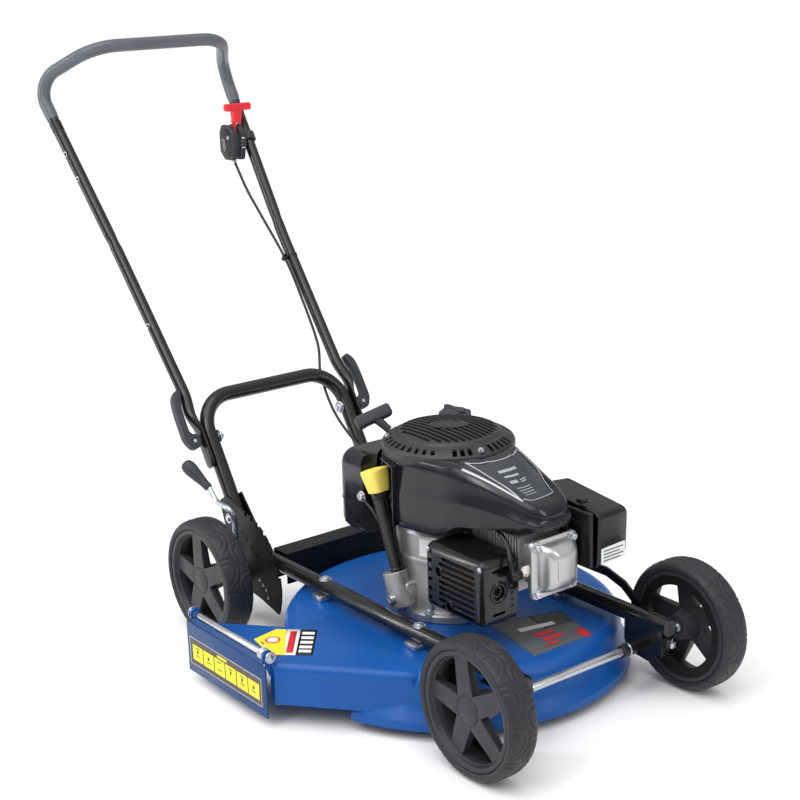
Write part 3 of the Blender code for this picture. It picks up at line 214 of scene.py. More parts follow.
def combine(made, helpers, operation):
    for helper in helpers:
        change = made.modifiers.new("combine", "BOOLEAN")
        change.operation = operation
        change.object = helper
        change.solver = "EXACT"
    bake(made)
    finish = made.data.materials[0] if made.data.materials else None
    for helper in helpers:
        bpy.data.objects.remove(helper, do_unlink=True)
    if finish is not None:
        made.data.materials.clear()
        made.data.materials.append(finish)
        for face in made.data.polygons:
            face.material_index = 0
    smooth(made.data)
    return made


def cut(made, *helpers):
    return combine(made, helpers, "DIFFERENCE")


def join(made, *helpers):
    return combine(made, helpers, "UNION")


def merged(name, pieces, finish=None):
    """Several solids as one object, left as they are."""
    shape = bmesh.new()
    for piece in pieces:
        shape.from_mesh(piece.data)
        bpy.data.objects.remove(piece, do_unlink=True)
    return from_bmesh(name, shape, finish)


def box(name, low, high, finish=None, radius=0.0, segments=3):
    low, high = Vector(low), Vector(high)
    shape = bmesh.new()
    bmesh.ops.create_cube(shape, size=1.0)
    bmesh.ops.scale(shape, vec=high - low, verts=shape.verts)
    bmesh.ops.translate(shape, vec=(low + high) / 2, verts=shape.verts)
    if radius:
        bmesh.ops.bevel(shape, geom=list(shape.edges), offset=radius, segments=segments, affect="EDGES",
                        profile=0.5)
    return from_bmesh(name, shape, finish)


def rod(name, start, end, radius, finish=None, sides=32, end_radius=None, edge=0.0):
    start, end = Vector(start), Vector(end)
    run = end - start
    place = Matrix.Translation((start + end) / 2) @ run.to_track_quat("Z", "Y").to_matrix().to_4x4()
    shape = bmesh.new()
    bmesh.ops.create_cone(shape, cap_ends=True, segments=sides, radius1=radius,
                          radius2=radius if end_radius is None else end_radius,
                          depth=run.length, matrix=place)
    if edge:
        rims = [e for e in shape.edges if any(len(f.verts) > 4 for f in e.link_faces)]
        bmesh.ops.bevel(shape, geom=rims, offset=edge, segments=2, affect="EDGES", profile=0.5)
    return from_bmesh(name, shape, finish)


def lathe(name, profile, base, axis, finish=None, steps=96, closed=False):
    """A profile of (radius, height) points turned round an axis."""
    spin = Vector(axis).to_track_quat("Z", "Y").to_matrix()
    base = Vector(base)
    shape = bmesh.new()
    rings = []
    for r, h in profile:
        if r < 1e-6:
            rings.append([shape.verts.new(base + spin @ Vector((0, 0, h)))])
            continue
        rings.append([shape.verts.new(base + spin @ Vector((r * cos(a), r * sin(a), h)))
                      for a in (2 * pi * i / steps for i in range(steps))])
    pairs = list(zip(rings, rings[1:]))
    if closed:
        pairs.append((rings[-1], rings[0]))
    for one, two in pairs:
        for i in range(steps):
            j = (i + 1) % steps
            if len(one) == 1 and len(two) == 1:
                continue
            if len(one) == 1:
                shape.faces.new((one[0], two[i], two[j]))
            elif len(two) == 1:
                shape.faces.new((one[i], two[0], one[j]))
            else:
                shape.faces.new((one[i], two[i], two[j], one[j]))
    return from_bmesh(name, shape, finish)


FACING = {
    "X": Matrix(((0, 0, 1, 0), (1, 0, 0, 0), (0, 1, 0, 0), (0, 0, 0, 1))),
    "Y": Matrix(((1, 0, 0, 0), (0, 0, -1, 0), (0, 1, 0, 0), (0, 0, 0, 1))),
    "Z": Matrix.Identity(4),
}


def plate(name, outline, facing, low, high, finish=None, holes=(), edge=0.0, frame_to=None):
    """A flat outline with holes and rounded edges, spanning low to high along the axis it faces."""
    data = bpy.data.curves.new(name, "CURVE")
    data.dimensions = "2D"
    data.fill_mode = "BOTH"
    data.extrude = (high - low) / 2 - edge
    data.bevel_depth = edge
    data.bevel_resolution = 2 if edge else 0
    data.offset = -edge
    for ring in (outline, *holes):
        spline = data.splines.new("POLY")
        spline.points.add(len(ring) - 1)
        for point, (a, b) in zip(spline.points, ring):
            point.co = (a, b, 0.0, 1.0)
        spline.use_cyclic_u = True
    source = bpy.data.objects.new(name, data)
    bpy.context.scene.collection.objects.link(source)
    bpy.context.view_layer.update()
    mesh = bpy.data.meshes.new_from_object(source.evaluated_get(bpy.context.evaluated_depsgraph_get()))
    bpy.data.objects.remove(source, do_unlink=True)
    middle = Matrix.Translation((0, 0, (low + high) / 2))
    mesh.transform((FACING[facing] if frame_to is None else frame_to)
                   @ (Matrix.Translation((0, 0,
                                          -(low + high) / 2)) if facing == "Y" and frame_to is None else middle))
    shape = bmesh.new()
    shape.from_mesh(mesh)
    bmesh.ops.remove_doubles(shape, verts=shape.verts, dist=0.000005)
    return from_bmesh(name, shape, finish)


def arc(centre, radius, start, end, count):
    step = (end - start) / (count - 1)
    angles = [radians(start + step * i) for i in range(count)]
    return [(centre[0] + radius * cos(a), centre[1] + radius * sin(a)) for a in angles]


def capsule(a, b, radius, count=12):
    lean = degrees(atan2(b[1] - a[1], b[0] - a[0]))
    return arc(b, radius, lean - 90, lean + 90, count) + arc(a, radius, lean + 90, lean + 270, count)


def rounded_outline(corners, radius, count=6):
    """A closed outline with each corner rounded; radius is one value or one for each corner."""
    corners = [Vector(c) for c in corners]
    radii = radius if isinstance(radius, (list, tuple)) else [radius] * len(corners)
    ring = []
    for i, corner in enumerate(corners):
        back = (corners[i - 1] - corner).normalized()
        on = (corners[(i + 1) % len(corners)] - corner).normalized()
        half = back.angle(on) / 2
        reach = radii[i] * cos(half) / sin(half)
        centre = corner + (back + on).normalized() * radii[i] / sin(half)
        first, last = corner + back * reach - centre, corner + on * reach - centre
        turn = first.angle_signed(last)
        for k in range(count):
            ring.append(tuple(centre + Matrix.Rotation(-turn * k / (count - 1), 2) @ first))
    return ring


def rounded_route(corners, radii, count=14):
    corners = [Vector(c) for c in corners]
    route = [corners[0]]
    for before, corner, after, radius in zip(corners, corners[1:], corners[2:], radii):
        back, on = (before - corner).normalized(), (after - corner).normalized()
        half = back.angle(on) / 2
        reach = radius * cos(half) / sin(half)
        centre = corner + (back + on).normalized() * radius / sin(half)
        first, last = corner + back * reach - centre, corner + on * reach - centre
        route += [centre + first.slerp(last, i / (count - 1)) * radius for i in range(count)]
    return route + [corners[-1]]


def smooth_route(points, per_span=8):
    points = [Vector(p) for p in points]
    ends = [2 * points[0] - points[1], *points, 2 * points[-1] - points[-2]]
    route = []
    for p0, p1, p2, p3 in zip(ends, ends[1:], ends[2:], ends[3:]):
        for i in range(per_span):
            t = i / per_span
            route.append(0.5 * (2 * p1 + (p2 - p0) * t + (2 * p0 - 5 * p1 + 4 * p2 - p3) * t**2
                                + (3 * p1 - p0 - 3 * p2 + p3) * t**3))
    return route + [points[-1]]


def resampled(points, step):
    """The same route with points no further apart than step."""
    points = [Vector(p) for p in points]
    route = [points[0]]
    for a, b in zip(points, points[1:]):
        count = max(1, int((b - a).length / step + 0.5))
        route += [a.lerp(b, i / count) for i in range(1, count + 1)]
    return route


def sweep(name, route, section, finish=None, sides=32, side=Vector((0, 1, 0)), caps=(True, True), angle=32.0):
    """A tube along a route. section(i, count) gives its half sizes along and across the side direction."""
    route = [Vector(p) for p in route]
    count = len(route)
    shape = bmesh.new()
    rings = []
    u = side.copy()
    for i, point in enumerate(route):
        run = (route[min(i + 1, count - 1)] - route[max(i - 1, 0)]).normalized()
        u = (u - run * u.dot(run)).normalized()
        v = run.cross(u)
        a, b = section(i, count)
        rings.append([shape.verts.new(point + u * a * cos(t) + v * b * sin(t))
                      for t in (2 * pi * k / sides for k in range(sides))])
    for one, two in zip(rings, rings[1:]):
        for k in range(sides):
            shape.faces.new((one[k], one[(k + 1) % sides], two[(k + 1) % sides], two[k]))
    if caps[0]:
        shape.faces.new(rings[0][::-1])
    if caps[1]:
        shape.faces.new(rings[-1])
    return from_bmesh(name, shape, finish, angle)


def round_section(radius):
    return lambda i, count: (radius, radius)


def mirrored_half(name, half):
    """A half piece that ends at y = 0, doubled across that plane."""
    flip = half.modifiers.new("mirror", "MIRROR")
    flip.use_axis = (False, True, False)
    flip.use_clip = True
    flip.merge_threshold = 0.0002
    bake(half)
    half.name = name
    smooth(half.data)
    return half


def bolt_head(name, at, axis, radius, height, finish=ZINC, dome=True):
    """A domed or flat head on a thin washer."""
    washer = [(0, 0), (radius * 1.35, 0), (radius * 1.35, height * 0.22), (radius * 1.0, height * 0.25)]
    if dome:
        cap = [(radius, height * 0.35), (radius * 0.92, height * 0.66), (radius * 0.66, height * 0.90),
               (radius * 0.30, height * 0.99), (0, height)]
    else:
        cap = [(radius, height * 0.85), (radius * 0.9, height), (radius * 0.5, height),
               (radius * 0.45, height * 0.8),
               (0, height * 0.8)]
    return lathe(name, washer + cap, at, axis, finish, steps=32)


def hex_nut(name, at, axis, across, height, finish=ZINC):
    at, axis = Vector(at), Vector(axis).normalized()
    nut = rod(name, at, at + axis * height, across / 2 / cos(pi / 6), None, sides=6)
    soften(nut, across * 0.05, 2, 40)
    ring = rod("ring", at + axis * height * 0.7, at + axis * height * 1.35, across * 0.27, None, sides=24,
               edge=0.0006)
    return merged(name, [nut, ring], finish)


def fix(made, body, *nodes):
    """Rides on its body and stands for these CAD nodes."""
    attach(made, body)
    if nodes:
        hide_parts(*nodes)
    return made


# ---- wheels -------------------------------------------------------------------------------------
WHEELS = {
    "front_right": (0.0, -0.2066), "front_left": (0.0, 0.2066),
    "rear_right": (-0.631, -0.2386), "rear_left": (-0.631, 0.2386),
}
HALF = 0.0243
LOBES = 11


def scallop(turn, y):
    """Depth of the tread grooves: overlapping ovals reaching in from each shoulder."""
    depth = 0.0
    pitch = 2 * pi / LOBES
    for hand, offset in ((1, 0.0), (-1, 0.5)):
        for reach, wide in ((0.0300, 0.62), (0.0215, 0.40)):
            around = (turn / pitch - offset + 0.5) % 1.0 - 0.5 + 0.12 * hand * y / HALF
            across = (y - hand * 0.0262) / reach
            gap = hypot(around / (wide * 0.75), across) - 1.0
            depth = max(depth, math_bump(gap / 0.085))
    return depth * 0.0016


def math_bump(x):
    return max(0.0, 1 - x * x) ** 2


def tyre_mesh():
    """Round-shouldered tyre turned on the Y axis, with its tread pressed in."""
    steps = LOBES * 26
    across = [HALF * (1 - 2 * k / 38) for k in range(39)]
    section = [(0.0853, 0.0220), (0.0870, 0.0232), (0.0892, 0.0240)]
    crown = [(0.0912 + 0.0088 * (1 - abs(y / HALF) ** 3.2) ** 0.55, y) for y in across]
    section = section + crown + [(r, -y) for r, y in section[::-1]]
    shape = bmesh.new()
    rings = []
    for i in range(steps):
        turn = 2 * pi * i / steps
        ring = []
        for r, y in section:
            edge = min(1.0, max(0.0, (r - 0.0905) / 0.004))
            r = r - scallop(turn, y) * edge
            ring.append(shape.verts.new((r * cos(turn), y, r * sin(turn))))
        rings.append(ring)
    for i in range(steps):
        one, two = rings[i], rings[(i + 1) % steps]
        for k in range(len(section)):
            m = (k + 1) % len(section)
            shape.faces.new((one[k], one[m], two[m], two[k]))
    made = from_bmesh("tyre", shape, RUBBER, 60.0)
    return made


def rim_object():
    """Spoked rim turned on the Y axis, hub disc on the -Y side."""
    profile = [
        (0.0, 0.0182), (0.0196, 0.0182), (0.0206, 0.0176), (0.0210, 0.0166), (0.0216, 0.0166),
        (0.0222, 0.0174),
        (0.0480, 0.0160), (0.0700, 0.0143), (0.0745, 0.0150), (0.0764, 0.0186), (0.0772, 0.0210),
        (0.0782, 0.0219),
        (0.0836, 0.0219), (0.0850, 0.0208), (0.0850, -0.0208), (0.0836, -0.0219), (0.0790, -0.0219),
        (0.0778, -0.0205), (0.0752, 0.0030), (0.0700, 0.0042), (0.0250, 0.0030), (0.0225, -0.0020),
        (0.0190, -0.0236), (0.0175, -0.0243), (0.0, -0.0243),
    ]
    rim = lathe("rim", profile, (0, 0, 0), (0, -1, 0), SPOKE, 100)
    windows = []
    for i in range(5):
        turn = 90.0 + 72.0 * i + 36.0
        inner, outer = 0.0262, 0.0738
        lean = degrees(0.0132 / outer)
        near = (inner * cos(radians(turn)), inner * sin(radians(turn)))
        ring = arc((0, 0), outer, turn - 36 + lean, turn + 36 - lean, 12)
        windows.append(plate("window", [near, *ring], "Y", -0.03, 0.03))
    cut(rim, merged("windows", windows))
    soften(rim, 0.0007, 2, 38)
    rim.data.materials.clear()
    rim.data.materials.append(SPOKE)
    return rim


def build_wheels():
    tyre, rim = tyre_mesh(), rim_object()
    for name, (x, y) in WHEELS.items():
        for source, kind in ((tyre, "tyre"), (rim, "rim")):
            made = bpy.data.objects.new(f"{kind}_{name}_look", source.data)
            bpy.context.scene.collection.objects.link(made)
            made.location = SHIFT + Vector((x, y, 0.100))
            tilt = radians(-9.0 if x else -13.0)
            made.rotation_euler = (0, tilt if y < 0 else -tilt, pi if y > 0 else 0.0)
            fix(made, f"wheel_{name}_body", f"{kind}_{name}")
        out = 1 if y > 0 else -1
        # A near-black ring inside the rim, behind the spoke windows: painted shade standing for the dark inside of the
        # wheel.
        shade_ring = lathe(f"rim_well_{name}", [(0.0640, -0.0195), (0.0780, -0.0195), (0.0780, -0.0182),
                                          (0.0640, -0.0182)],
                     (x, y, 0.100), (0, out, 0), WHEEL_SHADE, 72, True)
        fix(shade_ring, f"wheel_{name}_body")
        end = bolt_head(f"hub_screw_{name}", (x, y - out * 0.0243, 0.100), (0, -out, 0), 0.0062, 0.0030,
                        ZINC, False)
        fix(end, f"wheel_{name}_body")
    bpy.data.objects.remove(tyre)
    bpy.data.objects.remove(rim)


# ---- deck ---------------------------------------------------------------------------------------
DECK_TOP = 0.098
SHOULDER = 0.026
CHUTE_Y = -0.338
CHUTE_FRONT, CHUTE_REAR = -0.298, -0.506
HINGE_Y, HINGE_Z = -0.3430, 0.1100


def deck_height(x, y):
    r = hypot(x - AXIS_X, y)
    if y < -0.15 and -0.50 < x < -0.20:
        return DECK_TOP
    if r < 0.236:
        return DECK_TOP
    return DECK_TOP - SHOULDER + max(0.0, SHOULDER**2 - (min(r, 0.2618) - 0.236) ** 2) ** 0.5


def deck_profile(inset):
    top = DECK_TOP - inset
    rim = 0.016 if inset == 0 else 0.004
    crown = [(0.0, top)] + [(0.236 + r, top - SHOULDER + h) for r,
                            h in arc((0, 0), SHOULDER - inset, 90, 0, 12)]
    skirt = [(0.2645 - inset, 0.050), (0.2700 - inset, 0.040), (0.2755 - inset, 0.032),
             (0.2775 - inset, 0.028),
             (0.2775 - inset, rim)]
    return crown + skirt + [(0.0, rim)]


def chute_solid(name, inset):
    front = [Vector((-0.1348, -0.2050)), Vector((CHUTE_FRONT, CHUTE_Y))]
    rear = [Vector((-0.395, -0.243)), Vector((CHUTE_REAR, CHUTE_Y))]
    front = [point + Vector((-0.6, 0.8)) * inset for point in front]
    rear = [point + Vector((0.65, 0.76)) * inset for point in rear]
    front[1].x -= 3 * inset
    rear[1].x += 3 * inset
    past = CHUTE_Y - 0.05
    outline = [(-0.395, -0.150), tuple(rear[0]), tuple(rear[1]), (rear[1].x, past), (front[1].x, past),
               tuple(front[1]), tuple(front[0]), (-0.150, -0.150)]
    block = plate(name, outline, "Z", -0.03, DECK_TOP - inset)
    return soften(block, 0.014 - inset, 5, 30)


def build_deck():
    centre = (AXIS_X, 0, 0)
    deck = lathe("deck_look", deck_profile(0.0), centre, UP, BLUE, 160)
    tunnel = chute_solid("tunnel", 0.0)
    cut(tunnel, box("trim", (-0.60, -0.42, -0.06), (-0.05, -0.10, 0.034)),
        box("mouth", (-0.60, -0.42, -0.06), (-0.05, CHUTE_Y, 0.12)))
    ears = []
    for x in (CHUTE_FRONT - 0.0055, CHUTE_REAR + 0.0034):
        outline = capsule((HINGE_Y, HINGE_Z), (HINGE_Y + 0.010, HINGE_Z - 0.028), 0.0088)
        ears.append(plate("ear", outline, "X", x, x + 0.0025))
    join(tunnel, merged("ears", ears))
    join(deck, tunnel)
    cut(deck, lathe("hollow", deck_profile(0.0025), centre, UP, None, 160))
    cut(deck, chute_solid("tunnel_hollow", 0.0025))
    cut(deck, rod("shaft_hole", (AXIS_X, 0, 0.08), (AXIS_X, 0, 0.12), 0.030))
    cut(deck, rod("rod_hole", (-0.60, HINGE_Y, HINGE_Z), (-0.20, HINGE_Y, HINGE_Z), 0.0043, None, 24))
    smooth(deck.data, 24.0)
    fix(deck, "chassis", "deck")


def sheet_on(name, quad, height, finish, count=(14, 10), lift=0.0004):
    """A thin print lying on a surface given by its height over (x, y)."""
    a, b, c, d = [Vector(p) for p in quad]
    shape = bmesh.new()
    grid = []
    for i in range(count[0] + 1):
        s = i / count[0]
        row = []
        for k in range(count[1] + 1):
            t = k / count[1]
            p = a.lerp(b, s).lerp(d.lerp(c, s), t)
            row.append(shape.verts.new((p.x, p.y, height(p.x, p.y) + lift)))
        grid.append(row)
    for one, two in zip(grid, grid[1:]):
        for k in range(count[1]):
            shape.faces.new((one[k], two[k], two[k + 1], one[k + 1]))
    made = from_bmesh(name, shape, finish)
    thick = made.modifiers.new("thickness", "SOLIDIFY")
    thick.thickness = 0.0002
    thick.offset = -1.0
    return bake(made)


def within(quad, s, t):
    a, b, c, d = [Vector(p) for p in quad]
    return a.lerp(b, s).lerp(d.lerp(c, s), t)


def part_of(quad, s0, s1, t0, t1):
    return [within(quad, s0, t0), within(quad, s1, t0), within(quad, s1, t1), within(quad, s0, t1)]


def build_deck_prints():
    """A slate panel with plain bars on the front of the deck, and the warning panel on the chute."""
    panel = [(-0.1980, -0.0150), (-0.1600, 0.0980), (-0.0685, 0.0750), (-0.0686, -0.0386)]
    fix(sheet_on("deck_panel", panel, deck_height, SLATE, (30, 20)), "chassis")
    fix(sheet_on("deck_panel_band", part_of(panel, 0.55, 1.0, 0.0, 0.45), deck_height, SLATE_DARK, (12, 10),
                 0.0007),
        "chassis")
    fix(sheet_on("deck_panel_corner", part_of(panel, 0.86, 1.0, 0.72, 1.0), deck_height, SCARLET, (6, 6),
                 0.0007),
        "chassis")
    bars = [
        ("deck_bar_pale", PALE, [(0.22, 0.74, 0.30, 0.40)]),
        ("deck_bar_red", SCARLET, [(0.30, 0.60, 0.52, 0.62), (0.36, 0.66, 0.68, 0.78),
                                   (0.30, 0.50, 0.84, 0.90)]),
    ]
    for name, finish, spans in bars:
        pieces = [sheet_on("bar", part_of(panel, *span), deck_height, finish, (12, 3),
                           0.0010) for span in spans]
        fix(merged(name, pieces, finish), "chassis")
    quad = [(-0.3932, -0.2676), (-0.3243, -0.3246), (-0.2820, -0.2789), (-0.3499, -0.2222)]
    flat = lambda x, y: DECK_TOP
    point = plate("point", [(-0.3850, -0.3130), (-0.3243, -0.3246), (-0.3098, -0.3085), (-0.3820, -0.2568),
                            (-0.3932, -0.2676)], "Z", DECK_TOP + 0.0001, DECK_TOP + 0.0005)
    fix(merged("chute_print_amber", [point], AMBER), "chassis")
    pieces = (
        ("chute_print_pale", PALE, part_of(quad, 0, 1, 0.27, 0.64)),
        ("chute_print_ink", INK_AND_SHADE, part_of(quad, 0, 1, 0.60, 1.0)),
    )
    for name, finish, area in pieces:
        fix(sheet_on(name, area, flat, finish, (4, 4)), "chassis")
    red = part_of(quad, 0.08, 0.92, 0.36, 0.52)
    fix(sheet_on("chute_print_red", red, flat, SCARLET, (4, 2), 0.0007), "chassis")
    lines = [sheet_on("line", part_of(quad, s0, s0 + 0.10, t, t + 0.30), flat, PALE, (1, 4), 0.0007)
             for s0 in (0.10, 0.28, 0.46, 0.64, 0.80) for t in (0.65,)]
    fix(merged("chute_print_lines", lines, PALE), "chassis")
    middle = Vector((-0.3640, -0.2935))
    disc = lathe("chute_print_disc", [(0.0085, 0.0), (0.0085, 0.0006), (0.0115, 0.0006), (0.0115, 0.0)],
                 (middle.x, middle.y, DECK_TOP + 0.0003), UP, SCARLET, 48, True)
    fix(disc, "chassis")
    fill = lathe("chute_print_white", [(0.0, 0.0005), (0.0085, 0.0005), (0.0085, 0.0)],
                 (middle.x, middle.y, DECK_TOP + 0.0003), UP, PALE, 48)
    fix(fill, "chassis")


def build_deflector():
    """The hanging flap with its prints, the hinge rod, its hooked end and its torsion spring."""
    face = HINGE_Y - 0.0120
    x1, x2 = CHUTE_REAR - 0.004, CHUTE_FRONT + 0.006
    sheet = box("sheet", (x1, face, 0.018), (x2, face + 0.003, 0.0995), None, 0.0008, 2)
    neck = [(face, 0.0960), (face + 0.0030, 0.0930), (HINGE_Y - 0.0020, HINGE_Z - 0.0062),
            (HINGE_Y - 0.0046, HINGE_Z - 0.0040)]
    knuckles = [plate("neck", neck, "X", CHUTE_REAR + 0.0062, CHUTE_FRONT - 0.0062)]
    for at in (CHUTE_REAR + 0.0062, CHUTE_FRONT - 0.0142):
        knuckles.append(rod("roll", (at, HINGE_Y, HINGE_Z), (at + 0.008, HINGE_Y, HINGE_Z), 0.0066, None, 28))
    flap = merged("deflector_look", [sheet, *knuckles], FLAP_BLUE)
    fix(flap, "deflector_body", "deflector_flap")

    def upright(name, u0, u1, v0, v1, finish, lift):
        a = x1 + (x2 - x1) * u0, x1 + (x2 - x1) * u1
        z = 0.018 + 0.078 * v0, 0.018 + 0.078 * v1
        made = box(name, (a[0], face - lift - 0.0002, z[0]), (a[1], face - lift + 0.0002, z[1]), finish)
        return made

    fix(upright("flap_panel", 0.045, 0.965, 0.20, 0.74, TAUPE, 0.0002), "deflector_body")
    border = plate("flap_panel_edge",
                   [(x1 + 0.212 * 0.035, 0.0325), (x1 + 0.212 * 0.975, 0.0325), (x1 + 0.212 * 0.975, 0.0768),
                    (x1 + 0.212 * 0.035, 0.0768)], "Y", face - 0.0004, face + 0.0001, SILVER_AND_HIGHLIGHT,
                   holes=[[(x1 + 0.212 * 0.042, 0.0337), (x1 + 0.212 * 0.968, 0.0337),
                           (x1 + 0.212 * 0.968, 0.0756),
                           (x1 + 0.212 * 0.042, 0.0756)]])
    fix(border, "deflector_body")
    squares = []
    for i in range(6):
        u = 0.075 + 0.143 * i
        squares.append(upright("square", u, u + 0.130, 0.30, 0.62, None, 0.0006))
    fix(merged("flap_squares", squares, LEMON), "deflector_body")
    signs = []
    for i in range(6):
        u = 0.075 + 0.143 * i + 0.040
        for k, (du, dv, w, h) in enumerate(((0.0, 0.10, 0.05, 0.02), (0.015, 0.16, 0.02, 0.07),
                                            (0.0, 0.26, 0.05, 0.02))):
            if (i + k) % 4 != 3:
                signs.append(upright("sign", u + du, u + du + w, 0.30 + dv, 0.30 + dv + h, None, 0.0009))
    fix(merged("flap_signs", signs, TAUPE), "deflector_body")
    fix(upright("flap_tag", 0.40, 0.52, 0.655, 0.705, AMBER, 0.0006), "deflector_body")
    bar = rod("hinge_rod_look", (CHUTE_REAR - 0.006, HINGE_Y, HINGE_Z),
              (CHUTE_FRONT + 0.006, HINGE_Y, HINGE_Z),
              0.0050, ZINC, 32, edge=0.0008)
    fix(bar, "chassis", "deflector_hinge_rod")
    start = CHUTE_FRONT - 0.0050
    coil = [Vector((start - 0.0020 - 0.0115 * k / 90, HINGE_Y + 0.0082 * cos(2 * pi * k / 18),
                    HINGE_Z + 0.0082 * sin(2 * pi * k / 18))) for k in range(91)]
    coil += [coil[-1] + Vector((-0.010, 0.004, 0.006)), coil[-1] + Vector((-0.030, 0.010, 0.001))]
    spring = sweep("hinge_spring", coil, round_section(0.0010), ZINC, 10)
    fix(spring, "chassis")
    for x in (CHUTE_FRONT + 0.0035, CHUTE_REAR - 0.0035):
        clip = lathe("hinge_clip", [(0.0042, 0.0), (0.0085, 0.0), (0.0090, 0.0008), (0.0085, 0.0016),
                                    (0.0042, 0.0016)],
                     (x, HINGE_Y, HINGE_Z), (1, 0, 0), ZINC, 32, True)
        fix(clip, "chassis")


# ---- frame --------------------------------------------------------------------------------------
RAIL_Y, RAIL_Z, TUBE_R = 0.142, 0.118, 0.0127


def build_frame():
    for side, sign in (("right", -1), ("left", 1)):
        y = sign * RAIL_Y
        rail = rod("rail", (-0.668, y, RAIL_Z), (0.0235, y, RAIL_Z), TUBE_R, BLACK, 48, edge=0.0006)
        rail.name = f"{side}_rail_look"
        fix(rail, "chassis", f"{side}_rail")
        for x, way in ((0.0200, 1), (-0.6655, -1)):
            cap = lathe("rail_cap", [(0.0, 0.0060), (0.0085, 0.0056), (0.0122, 0.0042), (0.0127, 0.0020),
                                     (0.0127, 0.0004), (0.0110, 0.0), (0.0, 0.0)], (x, y, RAIL_Z),
                                     (way, 0, 0),
                        CHARCOAL, 48)
            fix(cap, "chassis")
        for place, x in (("rear", -0.440), ("front", -0.205)):
            spacer = box("spacer", (x - 0.0125, y - 0.0190, 0.0983), (x + 0.0125, y + 0.0190, 0.1070), None,
                         0.0012, 2)
            head = bolt_head("head", (x, y, RAIL_Z + TUBE_R - 0.0006), UP, 0.0070, 0.0050, None)
            mount = merged(f"deck_mount_{place}_{side}_look", [spacer, head], ZINC)
            fix(mount, "chassis", f"deck_mount_{place}_{side}")
            washer = lathe("rail_washer", [(0.0, 0.0), (0.0100, -0.0005), (0.0100, 0.0004), (0.0080, 0.0010),
                                           (0.0, 0.0010)],
                           (x, y, RAIL_Z + TUBE_R - 0.0010), UP, ZINC, 40)
            fix(washer, "chassis")


LEG_ANGLE = radians(58.0)
LEG = Vector((-cos(LEG_ANGLE), 0.0, sin(LEG_ANGLE)))
LEG_NORMAL = Vector((sin(LEG_ANGLE), 0.0, cos(LEG_ANGLE)))
FOLD = Vector((-0.764, 0.0, 0.287))
SLEEVE_Z = 0.801


def build_handles():
    across = Vector((0, RAIL_Y, 0))
    bottom, top = FOLD - LEG * 0.1735, FOLD + LEG * 0.070
    half = rounded_route([bottom - across, top - across, top], [0.060], 18)
    half = resampled(half, 0.012)
    hoop = sweep("hoop", half, round_section(TUBE_R), BLACK, 40, caps=(True, False))
    fix(mirrored_half("lower_handle_look", hoop), "chassis", "lower_handle")

    corners = [
        FOLD - LEG * 0.050 + Vector((0, -0.1590, 0)), FOLD + LEG * 0.020 + Vector((0, -0.1590, 0)),
        FOLD + LEG * 0.046 + Vector((0, -0.1662, 0)), Vector((-0.8120, -0.1590, 0.3530)),
        Vector((-0.9880, -0.1690, 0.5700)), Vector((-1.2090, -0.1960, 0.8610)),
        Vector((-1.1000, -0.1320, 0.9240)),
        Vector((-1.1000, 0.0, 0.9240)),
    ]
    route = resampled(rounded_route(corners, [0.05, 0.05, 0.10, 0.90, 0.042, 0.075], 16), 0.006)
    lengths = [0.0]
    for a, b in zip(route, route[1:]):
        lengths.append(lengths[-1] + (b - a).length)

    def section(i, count):
        s = lengths[i]
        ease = min(1.0, max(0.0, (s - 0.064) / 0.045))
        ease = ease * ease * (3 - 2 * ease)
        end = min(1.0, s / 0.012)
        wide = (0.0146 * (1 - ease) + 0.0101 * ease) * (0.55 + 0.45 * (1 - (1 - end) ** 2) ** 0.5)
        thick = 0.0040 * (1 - ease) + 0.0101 * ease
        for dent, size in ((0.4440, 0.016), (0.6930, 0.012)):
            fall = math_bump((s - dent) / size)
            thick -= 0.0012 * fall
            wide += 0.0002 * fall
        return thick, wide

    leg = sweep("leg", route, section, BLACK, 40, caps=(True, False))
    handle = mirrored_half("upper_handle_look", leg)
    holes = []
    for x, z in ((-1.1190, 0.7420), (-1.0880, 0.7010), (-0.9030, 0.4640)):
        y = -0.169 - (z - 0.570) * 0.0928 if z > 0.57 else -0.163
        holes.append(rod("hole", (x + 0.004, y - 0.020, z), (x + 0.002, y - 0.0060, z), 0.0040, None, 24))
    cut(handle, merged("holes", holes))
    fix(handle, "handle_body", "upper_handle")
    for x, z in ((-1.1190, 0.7420), (-1.0880, 0.7010), (-0.9030, 0.4640)):
        y = -0.169 - (z - 0.570) * 0.0928 if z > 0.57 else -0.163
        eye = lathe("handle_eyelet", [(0.0028, 0.0), (0.0046, 0.0), (0.0048, 0.0006), (0.0040, 0.0012),
                                      (0.0028, 0.0008)],
                    (x + 0.0030, y - 0.0096, z), (0.15, -1, 0), ZINC, 28, True)
        fix(eye, "handle_body")

    start = next(i for i, p in enumerate(route) if p.z > SLEEVE_Z)
    run = route[start - 1:]

    def sleeve_section(i, count):
        lip = min(1.0, i / 2.0)
        return (0.0104 + 0.0011 * lip, 0.0104 + 0.0011 * lip)

    sleeve = sweep("sleeve", run, sleeve_section, SLEEVE, 40, caps=(True, False))
    fix(mirrored_half("grip_sleeve_look", sleeve), "handle_body", "grip_sleeve")
    for sign in (-1, 1):
        wrap = [Vector((p.x, p.y * -sign, p.z)) for p in route[start - 5:start - 1]]
        tape = sweep("sleeve_tape", wrap, lambda i, count: (0.0106, 0.0106), SATIN, 40)
        fix(tape, "handle_body")


